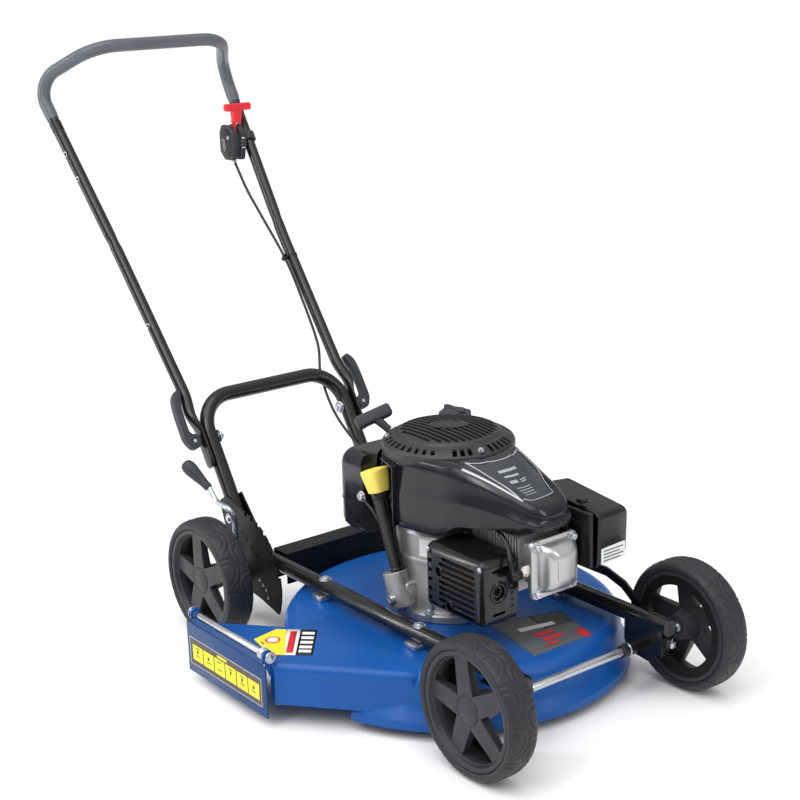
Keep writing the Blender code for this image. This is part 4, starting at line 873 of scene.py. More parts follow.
def build_brackets():
    """The pressed steel parts keep their shapes, with rounded edges and paint."""
    for name in ("rear_crossmember", "height_quadrant", "left_rear_bracket", "left_front_bracket",
                 "right_front_bracket", "height_link"):
        edge = NODES[name].modifiers.new("edge", "BEVEL")
        edge.width = 0.0006
        edge.segments = 2
        edge.limit_method = "ANGLE"
        edge.angle_limit = radians(40.0)
    # Black triangles on the quadrant plate: painted shade standing for the dark notch holes.
    notches = []
    for x, z in ((-0.6567, 0.1478), (-0.6442, 0.1407), (-0.6301, 0.1289), (-0.6159, 0.1189)):
        notches.append(plate("notch", [(x - 0.0045, z - 0.005), (x + 0.0045, z), (x - 0.002, z + 0.006)],
                             "Y", -0.1588, -0.1583))
    fix(merged("quadrant_notches", notches, INK_AND_SHADE), "chassis")
    # Silver triangles along the lower teeth: bright zinc edges, partly painted glints.
    teeth = []
    for x, z in ((-0.6074, 0.0807), (-0.5980, 0.0745), (-0.5891, 0.0687), (-0.5842, 0.0561)):
        teeth.append(plate("tooth", [(x - 0.0030, z - 0.004), (x + 0.0030, z - 0.001),
                                     (x - 0.001, z + 0.004)], "Y", -0.1588,
                           -0.1583))
    fix(merged("quadrant_teeth", teeth, SILVER_AND_HIGHLIGHT), "chassis")
    rivets = []
    for sign in (-1, 1):
        face = sign * 0.1585
        for x, z in ((-0.675, 0.118), (-0.694, 0.165)):
            rivets.append(bolt_head("bolt", (x, face, z), (0, sign, 0), 0.0062, 0.0042, None))
    fix(merged("bracket_bolts", rivets, ZINC), "chassis")
    nuts = []
    for sign in (-1, 1):
        nuts.append(hex_nut("nut", (0.0225, sign * 0.147, 0.0905), (1, 0, 0), 0.010, 0.0045, None))
    fix(merged("gusset_nuts", nuts, ZINC), "chassis")
    for sign in (-1, 1):
        pivot = Vector((-0.655, sign * 0.1600, 0.080))
        ring = lathe("pivot_ring", [(0.0084, 0.0), (0.0150, 0.0), (0.0150, 0.0012), (0.0135, 0.0018),
                                    (0.0084, 0.0018)],
                     pivot - Vector((0, sign * 0.0016, 0)), (0, sign, 0), ZINC, 40, True)
        fix(ring, "chassis")


# ---- cranks and height lever --------------------------------------------------------------------
def build_cranks():
    """Cross shafts with their arms, sleeves and clips; the plated front shaft shows ahead of the deck."""
    data = (
        ("front_crank", -0.024, 0.0064, 0.166, 0.2186, ZINC),
        ("rear_crank", -0.655, 0.0080, 0.190, 0.2506, BLACK),
    )
    for name, x, radius, arm_y, stub_end, finish in data:
        body = f"{name}_body"
        z = 0.080
        axle = (x + 0.024, z + 0.020)
        pin = (x - 0.020, z + 0.032)
        shaft = rod("shaft", (x, -arm_y - 0.0045, z), (x, arm_y + 0.0045, z), radius, finish, 40, edge=0.0008)
        shaft.name = f"{name}_look"
        fix(shaft, body, name)
        for sign in (-1, 1):
            low, high = sorted((sign * (arm_y + 0.006), sign * arm_y))
            arm = plate("arm", capsule((x, z), axle, 0.012), "Y", low, high, BLACK, edge=0.0008)
            fix(arm, body)
            low, high = sorted((sign * (arm_y + 0.004), sign * (stub_end - 0.0003)))
            stub = rod("stub", (*axle[:1], low, axle[1]), (*axle[:1], high, axle[1]), 0.0060, ZINC, 32,
                       edge=0.0006)
            fix(stub, body)
            boss = lathe("arm_boss", [(0.0, 0.0030), (0.0085, 0.0030), (0.0098, 0.0022), (0.0100, 0.0),
                                      (0.0, 0.0)],
                         (x, sign * (arm_y + 0.0055), z), (0, sign, 0), ZINC, 36)
            fix(boss, body)
        link = plate("link_arm", capsule((x, z), pin, 0.0105), "Y", 0.1660, 0.1720, BLACK, edge=0.0008)
        fix(link, body)
        stud = rod("link_pin", (pin[0], 0.1590, pin[1]), (pin[0], 0.1715, pin[1]), 0.0040, ZINC, 24,
                   edge=0.0005)
        fix(stud, body)
        clip = lathe("link_clip", [(0.0041, 0.0), (0.0072, 0.0), (0.0074, 0.0007), (0.0041, 0.0010)],
                     (pin[0], 0.1594, pin[1]), (0, -1, 0), ZINC, 28, True)
        fix(clip, body)
    for sign in (-1, 1):
        low, high = sorted((sign * 0.0900, sign * 0.1035))
        collar = rod("shaft_sleeve", (-0.024, low, 0.080), (-0.024, high, 0.080), 0.0092, SATIN, 32,
                     edge=0.0012)
        fix(collar, "front_crank_body")
        low, high = sorted((sign * 0.1360, sign * 0.1640))
        spacer = rod("shaft_spacer", (-0.024, low, 0.080), (-0.024, high, 0.080), 0.0085, SATIN, 32,
                     edge=0.0010)
        fix(spacer, "front_crank_body")
    for sign in (-1, 1):
        ring = lathe("bearing_lip", [(0.0068, 0.0), (0.0112, 0.0), (0.0114, 0.0012), (0.0104, 0.0020),
                                     (0.0068, 0.0020)],
                     (-0.024, sign * 0.1040, 0.080), (0, -sign, 0), ZINC, 36, True)
        fix(ring, "chassis")


LEVER_Y = -0.185


def build_height_lever():
    x, z = -0.655, 0.080
    elbow = Vector((x - 0.0498, LEVER_Y, z + 0.1409))
    run = Vector((-0.710, -0.315, 0.631)).normalized()
    tip = elbow + run * 0.014
    corners = [(x + 0.004, LEVER_Y + 0.012, z + 0.012), (x + 0.010, LEVER_Y + 0.008, z + 0.100),
               (x + 0.011, LEVER_Y, z + 0.121), (x - 0.033, LEVER_Y, z + 0.124), elbow, tip]
    route = resampled(rounded_route(corners, (0.03, 0.012, 0.020, 0.006), 12), 0.006)
    bar = sweep("bar", route, round_section(0.0045), None, 24)
    boss = lathe("boss", [(0.0083, 0.0), (0.0140, 0.0), (0.0145, 0.0008), (0.0145, 0.0152), (0.0140, 0.0160),
                          (0.0083, 0.0160)], (x, -0.1640, z), (0, -1, 0), None, 40, True)
    fix(merged("height_lever_look", [bar, boss], ZINC), "rear_crank_body", "height_lever")
    profile = [(0.0047, 0.0), (0.0066, 0.0004), (0.0070, 0.0022), (0.0074, 0.0067), (0.0070, 0.0080),
               (0.0078, 0.0112),
               (0.0074, 0.0128), (0.0084, 0.0168), (0.0080, 0.0185), (0.0092, 0.0235), (0.0104, 0.0325),
               (0.0116, 0.0415), (0.0120, 0.0459), (0.0116, 0.0520), (0.0098, 0.0576), (0.0060, 0.0606),
               (0.0, 0.0615)]
    knob = lathe("height_lever_knob_look", profile, tip - run * 0.012, run, CHARCOAL, 48)
    fix(knob, "rear_crank_body", "height_lever_knob")


# ---- engine -------------------------------------------------------------------------------------
TUBE_FOOT = Vector((-0.3128, -0.0955, 0.1715))
TUBE_TOP = Vector((-0.3480, -0.0995, 0.2890))
RUN = (TUBE_TOP - TUBE_FOOT).normalized()


def build_crankcase():
    base, case_r, top = 0.0983, 0.083, 0.248
    profile = [(0.013, top), (0.058, top), (0.063, top - 0.002), (case_r - 0.004, top - 0.010),
               (case_r, top - 0.016),
               (case_r, 0.196), (case_r + 0.0022, 0.194), (case_r + 0.0022, 0.189), (case_r, 0.187),
               (case_r, base + 0.020), (case_r + 0.003, base + 0.014), (0.0905, base + 0.012),
               (0.092, base + 0.0105),
               (0.092, base + 0.001), (0.091, base), (0.013, base)]
    case = lathe("case", profile, (AXIS_X, 0, 0), UP, None, 128, True)
    pad = box("pad", (-0.2310, -0.036, 0.172), (-0.2140, 0.036, 0.244), None, 0.003, 2)
    pieces = [case, pad]
    for turn in range(-160, 180, 20):
        if -40 < turn < 40:
            continue
        way = Vector((cos(radians(turn)), sin(radians(turn)), 0))
        across = Vector((-way.y, way.x, 0)) * 0.0018
        a, b = way * (case_r - 0.002), way * (case_r + 0.0060)
        ring = [a - across, b - across, b + across, a + across]
        low, high = base + 0.010, base + 0.034
        pieces.append(plate("rib", [(AXIS_X + p.x, p.y) for p in ring], "Z", low, high))
    for turn in (-150, -100, -62, 62, 118, 168):
        way = Vector((cos(radians(turn)), sin(radians(turn)), 0)) * 0.0865
        pieces.append(rod("ear", (AXIS_X + way.x, way.y, base + 0.002),
                          (AXIS_X + way.x, way.y, base + 0.0150), 0.0075,
                          None, 28, edge=0.0008))
    lean = Vector((-0.003, -0.004, 0.0))
    foot = TUBE_FOOT + lean
    boss = lathe("boss", [(0.0, 0.0535), (0.0108, 0.0535), (0.0120, 0.0540), (0.0178, 0.0540),
                          (0.0190, 0.0528),
                          (0.0196, 0.0300), (0.0204, 0.0040), (0.0198, 0.0), (0.0, 0.0)], foot - RUN * 0.055,
                          RUN,
                 None, 48)
    pieces.append(boss)
    pieces.append(box("web", (-0.326, -0.100, 0.108), (-0.286, -0.070, 0.158), None, 0.006, 3))
    made = merged("crankcase_look", pieces, ALLOY)
    fix(made, "chassis", "crankcase")
    heads = []
    for turn in (-150, -100, -62, 62, 118, 168):
        way = Vector((cos(radians(turn)), sin(radians(turn)), 0)) * 0.0865
        heads.append(bolt_head("head", (AXIS_X + way.x, way.y, base + 0.0148), UP, 0.0050, 0.0050, None,
                               False))
    heads.append(bolt_head("head", foot - RUN * 0.040 + Vector((0.003, -0.0180, 0.0)), (0.1, -1, 0.05),
                           0.0068, 0.0060,
                           None, False))
    fix(merged("crankcase_bolts", heads, ZINC), "chassis")
    tag = plate("case_tag", [(-0.0105, -0.014), (0.0105, -0.014), (0.0105, 0.014), (-0.0105, 0.014)], "Z",
                -0.0002,
                0.0002, PALE)
    turn = radians(-66.0)
    way = Vector((cos(turn), sin(turn), 0))
    spot = Matrix.Translation(Vector((AXIS_X, 0, 0.215)) + way * (case_r + 0.0004))
    basis = Matrix((Vector((-way.y, way.x, 0)), UP, way)).transposed().to_4x4()
    tag.data.transform(spot @ basis)
    fix(tag, "chassis")


def build_cylinder():
    z, y, start, head_x = 0.228, 0.003, -0.2137, -0.078
    pieces = [box("barrel", (start, y - 0.030, z - 0.030), (head_x, y + 0.030, z + 0.030), None, 0.004, 3)]
    for i in range(18):
        x = start + 0.0095 + i * 0.0058
        pieces.append(box("fin", (x, y - 0.041, z - 0.041), (x + 0.0022, y + 0.041, z + 0.041), None, 0.0009,
                          2))
    pieces.append(box("head", (head_x - 0.012, y - 0.037, z - 0.037), (head_x, y + 0.037, z + 0.037), None,
                      0.003, 3))
    pieces.append(rod("exhaust_port", (-0.150, 0.0, z - 0.012), (-0.150, -0.0432, z - 0.012), 0.015))
    pieces.append(rod("intake_port", (-0.196, 0.0, z), (-0.196, 0.0467, z), 0.013))
    fix(merged("cylinder_look", pieces, ALLOY), "chassis", "cylinder")


def build_rocker_cover():
    """Bolting flange with four ears and a bevelled dome standing on it."""
    x, y, z = -0.0777, 0.003, 0.226
    outline = rounded_outline([(y - 0.0435, z - 0.0445), (y + 0.0435, z - 0.0445), (y + 0.0435, z + 0.0445),
                               (y - 0.0435, z + 0.0445)], 0.0110, 8)
    flange = plate("flange", outline, "X", x, x + 0.0050, None, edge=0.0010)
    shape = bmesh.new()
    levels = [(0.0040, 0.0000, 0.0075), (0.0065, 0.0010, 0.0085), (0.0120, 0.0026, 0.0095),
              (0.0180, 0.0048, 0.0105),
              (0.0225, 0.0080, 0.0115), (0.0255, 0.0125, 0.0110), (0.0275, 0.0165, 0.0090),
              (0.0285, 0.0200, 0.0070)]
    rings = []
    for lift, inset, corner in levels:
        ring = rounded_outline([(y - 0.0320 + inset, z - 0.0370 + inset),
                                (y + 0.0370 - inset, z - 0.0370 + inset),
                                (y + 0.0370 - inset, z + 0.0380 - inset),
                                (y - 0.0320 + inset, z + 0.0380 - inset)],
                               corner, 9)
        rings.append([shape.verts.new((x + lift, a, b)) for a, b in ring])
    for one, two in zip(rings, rings[1:]):
        for k in range(len(one)):
            m = (k + 1) % len(one)
            shape.faces.new((one[k], one[m], two[m], two[k]))
    shape.faces.new(rings[-1])
    shape.faces.new(rings[0][::-1])
    dome = from_bmesh("dome", shape)
    ridge = plate("ridge", rounded_outline([(y - 0.014, z - 0.017), (y + 0.019, z - 0.017),
                                            (y + 0.019, z + 0.018),
                                            (y - 0.014, z + 0.018)], 0.005, 6), "X", x + 0.0275, x + 0.0290,
                                            None,
                  edge=0.0006)
    ears = [lathe("ear", [(0.0, 0.0068), (0.0070, 0.0068), (0.0082, 0.0058), (0.0086, 0.0), (0.0, 0.0)],
                  (x + 0.0002, y + sy * 0.0350, z + sz * 0.0360), (1, 0, 0), None, 36) for sy in (-1,
                                                                                                  1) for sz in (-1, 1)]
    fix(merged("rocker_cover_look", [flange, dome, ridge, *ears], COVER), "chassis", "rocker_cover")
    heads = []
    for sy in (-1, 1):
        for sz in (-1, 1):
            at = (x + 0.0066, y + sy * 0.0350, z + sz * 0.0360)
            heads.append(bolt_head("head", at, (1, 0, 0), 0.0046, 0.0052, None, False))
    fix(merged("rocker_cover_bolts", heads, ZINC), "chassis")
    gasket = plate("rocker_gasket", rounded_outline([(y - 0.0415, z - 0.0425), (y + 0.0415, z - 0.0425),
                                                     (y + 0.0415, z + 0.0425), (y - 0.0415, z + 0.0425)],
                                                     0.010, 8),
                   "X", x - 0.0010, x + 0.0001, SATIN)
    fix(gasket, "chassis")


MUFFLER_LOW = Vector((-0.2305, -0.110, 0.146))
MUFFLER_HIGH = Vector((-0.101, -0.0430, 0.247))


def build_muffler():
    """Slotted black heat guard over the steel can."""
    reach = 0.03
    guard = box("guard", MUFFLER_LOW, MUFFLER_HIGH + Vector((0, reach, 0)), None, 0.0125, 6)
    wall = Vector((0.0018, 0.0018, 0.0018))
    hollow = box("hollow", MUFFLER_LOW + wall, MUFFLER_HIGH + Vector((0, 2 * reach, 0)) - wall, None, 0.0090,
                 4)
    trim = box("trim", (-0.26, MUFFLER_HIGH.y, 0.12), (-0.07, MUFFLER_HIGH.y + 3 * reach, 0.28))
    cut(guard, hollow, trim)
    slots = []
    face = MUFFLER_LOW.y
    for i in range(9):
        z = MUFFLER_LOW.z + 0.0115 + i * 0.0092
        start = -0.1935 if i not in (0, 8) else -0.1860
        pill = capsule((start, z), (-0.1190, z), 0.0026, 8)
        slots.append(plate("slot", pill, "Y", face - 0.01, face + 0.01))
    for x, z in ((-0.1960, 0.2080), (-0.1730, 0.1610)):
        slots.append(rod("round", (x, face - 0.01, z), (x, face + 0.01, z), 0.0072, None, 32))
    for i in range(6):
        z = 0.160 + i * 0.0145
        slots.append(box("square", (-0.2200, face - 0.01, z), (-0.2125, face + 0.01, z + 0.0062)))
    side = MUFFLER_HIGH.x
    slots.append(rod("outlet", (side - 0.02, -0.078, 0.197), (side + 0.02, -0.078, 0.197), 0.0140, None, 40))
    for z in (0.168, 0.1785, 0.189, 0.1995, 0.210, 0.2205):
        slots.append(box("vent", (side - 0.01, -0.0560, z), (side + 0.01, -0.0505, z + 0.0048)))
    slots.append(plate("vent", capsule((-0.087, 0.1640), (-0.068, 0.1640), 0.0022), "X", side - 0.01,
                       side + 0.01))
    slots.append(plate("vent", capsule((-0.088, 0.2300), (-0.060, 0.2300), 0.0020), "X", side - 0.01,
                       side + 0.01))
    cut(guard, *slots)
    guard.name = "muffler_guard_look"
    guard.data.materials.clear()
    guard.data.materials.append(BLACK)
    smooth(guard.data, 38)
    fix(guard, "chassis", "muffler_guard")
    extra = []
    for x, z in ((-0.1960, 0.2080), (-0.1730, 0.1610)):
        extra.append(lathe("rim", [(0.0066, 0.0), (0.0088, 0.0), (0.0092, 0.0007), (0.0084, 0.0015),
                                   (0.0070, 0.0012)],
                           (x, face + 0.0004, z), (0, -1, 0), None, 40, True))
        extra.append(lathe("head", [(0.0, 0.0026), (0.0030, 0.0026), (0.0042, 0.0016), (0.0042, 0.0),
                                    (0.0, 0.0)],
                           (x, face + 0.0060, z), (0, -1, 0), None, 28))
    extra.append(lathe("collar", [(0.0105, -0.006), (0.0105, 0.0010), (0.0125, 0.0022), (0.0150, 0.0018),
                                  (0.0168, 0.0004),
                                  (0.0168, -0.001), (0.0140, -0.001), (0.0125, -0.006)],
                       (side + 0.0001, -0.078, 0.197), (1, 0, 0), None, 48, True))
    for turn in range(0, 360, 45):
        way = Vector((0, cos(radians(turn + 22)), sin(radians(turn + 22))))
        at = Vector((side - 0.0030, -0.078, 0.197)) + way * 0.0080
        extra.append(rod("bar", at - way * 0.0025, at + way * 0.0050, 0.0010, None, 10))
    fix(merged("muffler_guard_trim", extra, BLACK), "chassis")
    inset = 0.006
    can = box("muffler_look", MUFFLER_LOW + Vector((inset, inset, inset)),
              MUFFLER_HIGH + Vector((-inset - 0.004, -0.0005, -inset)), BURNT, 0.010, 4)
    fix(can, "chassis", "muffler")
    tail = lathe("tail_pipe", [(0.0062, 0.0), (0.0090, 0.0), (0.0090, 0.0058), (0.0084, 0.0066),
                               (0.0062, 0.0066)],
                 (side - inset - 0.004, -0.078, 0.197), (1, 0, 0), STEEL, 36, True)
    fix(tail, "chassis")
    heads = [bolt_head("head", (x, face + 0.0004, z), (0, -1, 0), 0.0032, 0.0020, None)
             for x, z in ((-0.2210, 0.2375), (-0.1060, 0.2380))]
    fix(merged("muffler_rivets", heads, ZINC), "chassis")


# ---- blower hood --------------------------------------------------------------------------------
HOOD_R = 0.108
HOOD_TOP = 0.3625


def roof(x):
    forward = max(0.0, x + 0.212) / 0.157
    return HOOD_TOP - 0.0625 * forward ** 1.55


def underside(x):
    t = min(1.0, max(0.0, (x + 0.228) / 0.050))
    return 0.250 + 0.024 * t * t * (3 - 2 * t) + 0.008 * max(0.0, min(1.0, (x + 0.178) / 0.112))


def shoulder(x):
    """The rounding between wall and roof is tighter towards the nose."""
    return 0.019 - 0.007 * min(1.0, max(0.0, (x + 0.190) / 0.080))


def hood_outline(count=240):
    ring = arc((AXIS_X, 0.0), HOOD_R, 60, 281, 74)
    ring += [(-0.190, -0.0875), (-0.150, -0.0700), (-0.086, -0.0405), (-0.070, -0.0300), (-0.0665, -0.018),
             (-0.0660, 0.006), (-0.0665, 0.030), (-0.073, 0.0440), (-0.090, 0.0515), (-0.150, 0.0545),
             (-0.215, 0.070)]
    points = [Vector(p) for p in ring]
    lengths = [0.0]
    for a, b in zip(points, points[1:] + points[:1]):
        lengths.append(lengths[-1] + (b - a).length)
    loop = points + points[:1]
    even = []
    k = 0
    for i in range(count):
        want = lengths[-1] * i / count
        while lengths[k + 1] < want:
            k += 1
        even.append(loop[k].lerp(loop[k + 1], (want - lengths[k]) / (lengths[k + 1] - lengths[k])))
    for _ in range(26):
        even = [(even[i - 1] + even[i] * 2 + even[(i + 1) % count]) / 4 for i in range(count)]
    return even


def hood_rings():
    """Levels of the hood from its lower edge up to the crown opening."""
    outline = hood_outline()
    count = len(outline)
    normals = []
    for i in range(count):
        run = (outline[(i + 1) % count] - outline[i - 1]).normalized()
        normals.append(Vector((-run.y, run.x)))
    for _ in range(16):
        normals = [(normals[i - 1] + normals[i] * 2 + normals[(i + 1) % count]).normalized() for i in range(count)]
    levels = [(0.0, 0.0030), (0.012, 0.0018), (0.10, 0.0008), (0.30, 0.0), (0.52, 0.0), (0.58, 0.0006),
              (0.66, 0.0020),
              (0.84, 0.0040), (1.0, 0.0058)]
    rings = []
    for share, inset in levels:
        ring = []
        for p, n in zip(outline, normals):
            q = p + n * inset
            low, high = underside(p.x), roof(p.x) - shoulder(p.x)
            ring.append((q.x, q.y, low + (high - low) * share))
        rings.append(ring)
    for step in range(1, 9):
        turn = radians(90.0 * step / 8)
        ring = []
        for p, n in zip(outline, normals):
            size = shoulder(p.x)
            q = p + n * (0.0058 + size * 0.92 * (1 - cos(turn)))
            ring.append((q.x, q.y, roof(q.x) - size + size * sin(turn)))
        rings.append(ring)
    last = rings[-1]
    for step in range(1, 9):
        share = step / 8
        ring = []
        for x, y, z in last:
            way = Vector((x - AXIS_X, y))
            inner = way.normalized() * 0.0800
            q = Vector((x, y)).lerp(Vector((AXIS_X + inner.x, inner.y)), share)
            blend = min(1.0, max(0.0, (way.length - 0.084) / 0.02))
            ring.append((q.x, q.y, z + (roof(q.x) - z) * min(1.0,
                                                             share * 1.6) if blend else z + (HOOD_TOP - z) * share))
        rings.append(ring)
    return rings


def recess_cutter(radius, top):
    return rod("recess", (-0.337, -0.110, 0.20), (-0.337, -0.110, top), radius, None, 64)


def cap_path():
    """Where the dipstick's cap passes as it is drawn out."""
    return rod("path", TUBE_TOP - RUN * 0.010, TUBE_TOP + RUN * 0.150, 0.0245, None, 48)


def build_hood():
    rings = hood_rings()
    shape = bmesh.new()
    grid = [[shape.verts.new(p) for p in ring] for ring in rings]
    count = len(grid[0])
    for one, two in zip(grid, grid[1:]):
        for k in range(count):
            m = (k + 1) % count
            shape.faces.new((one[k], one[m], two[m], two[k]))
    hood = from_bmesh("blower_housing_look", shape, GLOSS, 45.0)
    inside = sum(f.normal.dot(f.center - Vector((AXIS_X, 0, 0.31))) for f in hood.data.polygons) < 0
    if inside:
        hood.data.flip_normals()
    thick = hood.modifiers.new("wall", "SOLIDIFY")
    thick.thickness = 0.0028
    thick.offset = -1.0
    bake(hood)
    cut(hood, recess_cutter(0.0410, 0.3460), cap_path())
    smooth(hood.data, 45.0)
    fix(hood, "chassis", "blower_housing")
    at = Vector((-0.337, -0.110))
    liner = []
    for k in range(33):
        turn = radians(-6 + 156 * k / 32)
        liner.append(at + Vector((cos(turn), sin(turn))) * 0.0412)
    shape = bmesh.new()
    floor = [shape.verts.new((*p, 0.252)) for p in liner]
    top = [shape.verts.new((*p, 0.3435)) for p in liner]
    crown = [shape.verts.new((*at.lerp(p, 0.80), 0.3462)) for p in liner]
    centre = shape.verts.new((at.x + 0.002, at.y + 0.006, 0.3465))
    for k in range(32):
        shape.faces.new((floor[k], floor[k + 1], top[k + 1], top[k]))
        shape.faces.new((top[k], top[k + 1], crown[k + 1], crown[k]))
        shape.faces.new((crown[k], crown[k + 1], centre))
    wall = from_bmesh("hood_recess", shape, GLOSS, 60.0)
    thick = wall.modifiers.new("wall", "SOLIDIFY")
    thick.thickness = 0.0020
    bake(wall)
    cut(wall, cap_path())
    smooth(wall.data, 60)
    fix(wall, "chassis")
    build_hood_prints(rings, hood)


def build_hood_prints(rings, hood):
    """A dark name panel with a bright edge and plain bars, and a painted highlight strip along the shoulder."""
    skin = BVHTree.FromObject(hood, bpy.context.evaluated_depsgraph_get())

    def height(p):
        return skin.ray_cast(Vector((p.x, p.y, 0.45)), -UP)[0].z

    def spot(s, t):
        near = Vector((-0.2005, -0.0532)).lerp(Vector((-0.0994, -0.0341)), t)
        far = Vector((-0.1963, 0.0440)).lerp(Vector((-0.1032, 0.0293)), t)
        p = near.lerp(far, s)
        p.x += (1 - t) * 0.016 * (1 - (2 * s - 1) ** 2)
        return p

    def patch(name, s0, s1, t0, t1, finish, lift, count=(16, 16)):
        shape = bmesh.new()
        grid = []
        for i in range(count[0] + 1):
            row = []
            for k in range(count[1] + 1):
                p = spot(s0 + (s1 - s0) * i / count[0], t0 + (t1 - t0) * k / count[1])
                row.append(shape.verts.new((p.x, p.y, height(p) + lift)))
            grid.append(row)
        for one, two in zip(grid, grid[1:]):
            for k in range(count[1]):
                shape.faces.new((one[k], two[k], two[k + 1], one[k + 1]))
        made = from_bmesh(name, shape, finish)
        thick = made.modifiers.new("wall", "SOLIDIFY")
        thick.thickness = 0.0005
        return bake(made)

    fix(patch("hood_panel", 0, 1, 0, 1, SLATE_DARK, 0.0006), "chassis")
    ring = [spot(s / 24, 0.0) for s in range(25)] + [spot(1.0, t / 12) for t in range(1, 12)]
    ring += [spot(1 - s / 12, 1.0) for s in range(13)] + [spot(0.0, 1 - t / 12) for t in range(1, 13)]
    edge = [Vector((p.x, p.y, height(p) + 0.0010)) for p in ring]
    fix(sweep("hood_panel_edge", edge, lambda i, count: (0.0011, 0.0006), SILVER_AND_HIGHLIGHT, 12,
              UP.cross(Vector((1, 0, 0)))),
        "chassis")
    bars = []
    for s0, s1, t0, t1 in ((0.30, 0.66, 0.24, 0.29), (0.32, 0.62, 0.36, 0.40), (0.33, 0.50, 0.47, 0.53),
                           (0.56, 0.70, 0.48, 0.50), (0.56, 0.68, 0.52, 0.54), (0.34, 0.68, 0.64, 0.655),
                           (0.34, 0.68, 0.70, 0.715), (0.36, 0.66, 0.76, 0.775), (0.36, 0.66, 0.82, 0.835)):
        bars.append(patch("bar", s0, s1, t0, t1, None, 0.0013, (6, 2)))
    fix(merged("hood_panel_bars", bars, GREY_PRINT), "chassis")
    # Silver strip along the shoulder rounding on the near side: a painted highlight where the glossy shoulder catches
    # the light.
    strip = []
    count = len(rings[0])
    for k in range(count):
        x, y, z = rings[13][k]
        if -0.190 < x < -0.098 and y < -0.02:
            strip.append(k)
    strip.sort(key=lambda k: rings[13][k][0])
    shape = bmesh.new()
    rows = []
    for k in strip:
        a, b = Vector(rings[13][k]), Vector(rings[15][k])
        out = Vector(((a - b).x, (a - b).y, 0)).normalized() * 0.0004 + UP * 0.0005
        rows.append([shape.verts.new(a.lerp(b, t) + out) for t in (0.15, 0.5, 0.85)])
    for one, two in zip(rows, rows[1:]):
        for m in range(2):
            shape.faces.new((one[m], two[m], two[m + 1], one[m + 1]))
    made = from_bmesh("hood_strip", shape, SILVER_AND_HIGHLIGHT)
    thick = made.modifiers.new("wall", "SOLIDIFY")
    thick.thickness = 0.0006
    fix(bake(made), "chassis")


def build_grille():
    """Domed grille with straight louvres, a shouldered ring with cooling slots, and a badge pad."""
    profile = [(0.0, 0.3852), (0.020, 0.3849), (0.036, 0.3842), (0.050, 0.3831), (0.064, 0.3815),
               (0.0715, 0.3803),
               (0.0755, 0.3792), (0.0778, 0.3776), (0.0790, 0.3757), (0.0800, 0.3748), (0.0835, 0.3742),
               (0.0850, 0.3736), (0.0960, 0.3680), (0.1000, 0.3645), (0.1012, 0.3612), (0.1012, 0.3480),
               (0.0990, 0.3480),
               (0.0975, 0.3625), (0.0850, 0.3700), (0.0775, 0.3720), (0.0760, 0.3755), (0.0640, 0.3785),
               (0.0360, 0.3812), (0.0, 0.3822)]
    cover = lathe("starter_cover_look", profile, (AXIS_X, 0, 0), UP, GRAIN, 144)
    bars = []
    count = 14
    for i in range(count):
        y = -0.0635 + 0.127 * i / (count - 1)
        reach = max(0.008, (0.0705**2 - y**2) ** 0.5 - 0.001)
        pill = capsule((AXIS_X - reach, y), (AXIS_X + reach, y), 0.0034, 6)
        bars.append(plate("louvre", pill, "Z", 0.365, 0.42))
    for turn in range(-126, -50, 8):
        bars.append(ring_slot(turn, 0.0031, 0.0872, 0.0968))
    for turn in (-34, -27, -20, 2, 9, 16, 23, 30):
        bars.append(ring_slot(turn, 0.0034, 0.0855, 0.0985))
    for turn in (60, 72, 84, 96, 108, 120, 150, 162, 174, 186, 198, 210):
        bars.append(ring_slot(turn, 0.0032, 0.0865, 0.0970))
    cut(cover, *bars)
    smooth(cover.data, 35)
    fix(cover, "chassis", "starter_cover")
    shape = bmesh.new()
    way, side = Vector((0.62, 0.78, 0)), Vector((-0.78, 0.62, 0))
    rings = []
    for scale, lift in ((1.0, -0.0014), (1.0, 0.0005), (0.96, 0.0011), (0.86, 0.0013), (0.82, 0.0009),
                        (0.4, 0.0012),
                        (0.02, 0.0014)):
        ring = []
        for k in range(64):
            t = 2 * pi * k / 64
            p = way * (0.0310 * scale * cos(t)) + side * (0.0190 * scale * sin(t))
            z = 0.3852 - 0.0037 * (p.length / 0.064) ** 2
            ring.append(shape.verts.new((AXIS_X + p.x, p.y, z + lift)))
        rings.append(ring)
    for one, two in zip(rings, rings[1:]):
        for k in range(64):
            shape.faces.new((one[k], one[(k + 1) % 64], two[(k + 1) % 64], two[k]))
    shape.faces.new(rings[-1])
    shape.faces.new(rings[0][::-1])
    fix(from_bmesh("grille_badge", shape, SATIN), "chassis")
    # Near-black disc just under the louvres: painted shade standing for the dark inside of the housing seen through
    # the slots.
    inner = lathe("screen", [(0.0, 0.3705), (0.0730, 0.3695), (0.0735, 0.3685), (0.0, 0.3690)],
                  (AXIS_X, 0, 0), UP, INK_AND_SHADE, 72)
    fix(inner, "chassis")
    ring = lathe("pulley", [(0.012, 0.362), (0.044, 0.362), (0.044, 0.3592), (0.039, 0.3565), (0.044, 0.3538),
                            (0.044, 0.351), (0.012, 0.351)], (AXIS_X, 0, 0), UP, CHARCOAL, 72, True)
    ring.name = "starter_pulley_look"
    fix(ring, "starter_pulley_body", "starter_pulley")
    for turn in (-9, 111, 231):
        way = Vector((cos(radians(turn)), sin(radians(turn)), 0))
        at = Vector((AXIS_X, 0, 0.3655)) + way * 0.0925
        tab = lathe("cover_tab", [(0.0, 0.0040), (0.0060, 0.0040), (0.0072, 0.0030), (0.0076, -0.003),
                                  (0.0, -0.003)], at,
                    way * 0.35 + UP, GRAIN, 36)
        fix(tab, "chassis")
        screw = bolt_head("cover_screw", at + UP * 0.0036, way * 0.35 + UP, 0.0036, 0.0034, ZINC, False)
        fix(screw, "chassis")


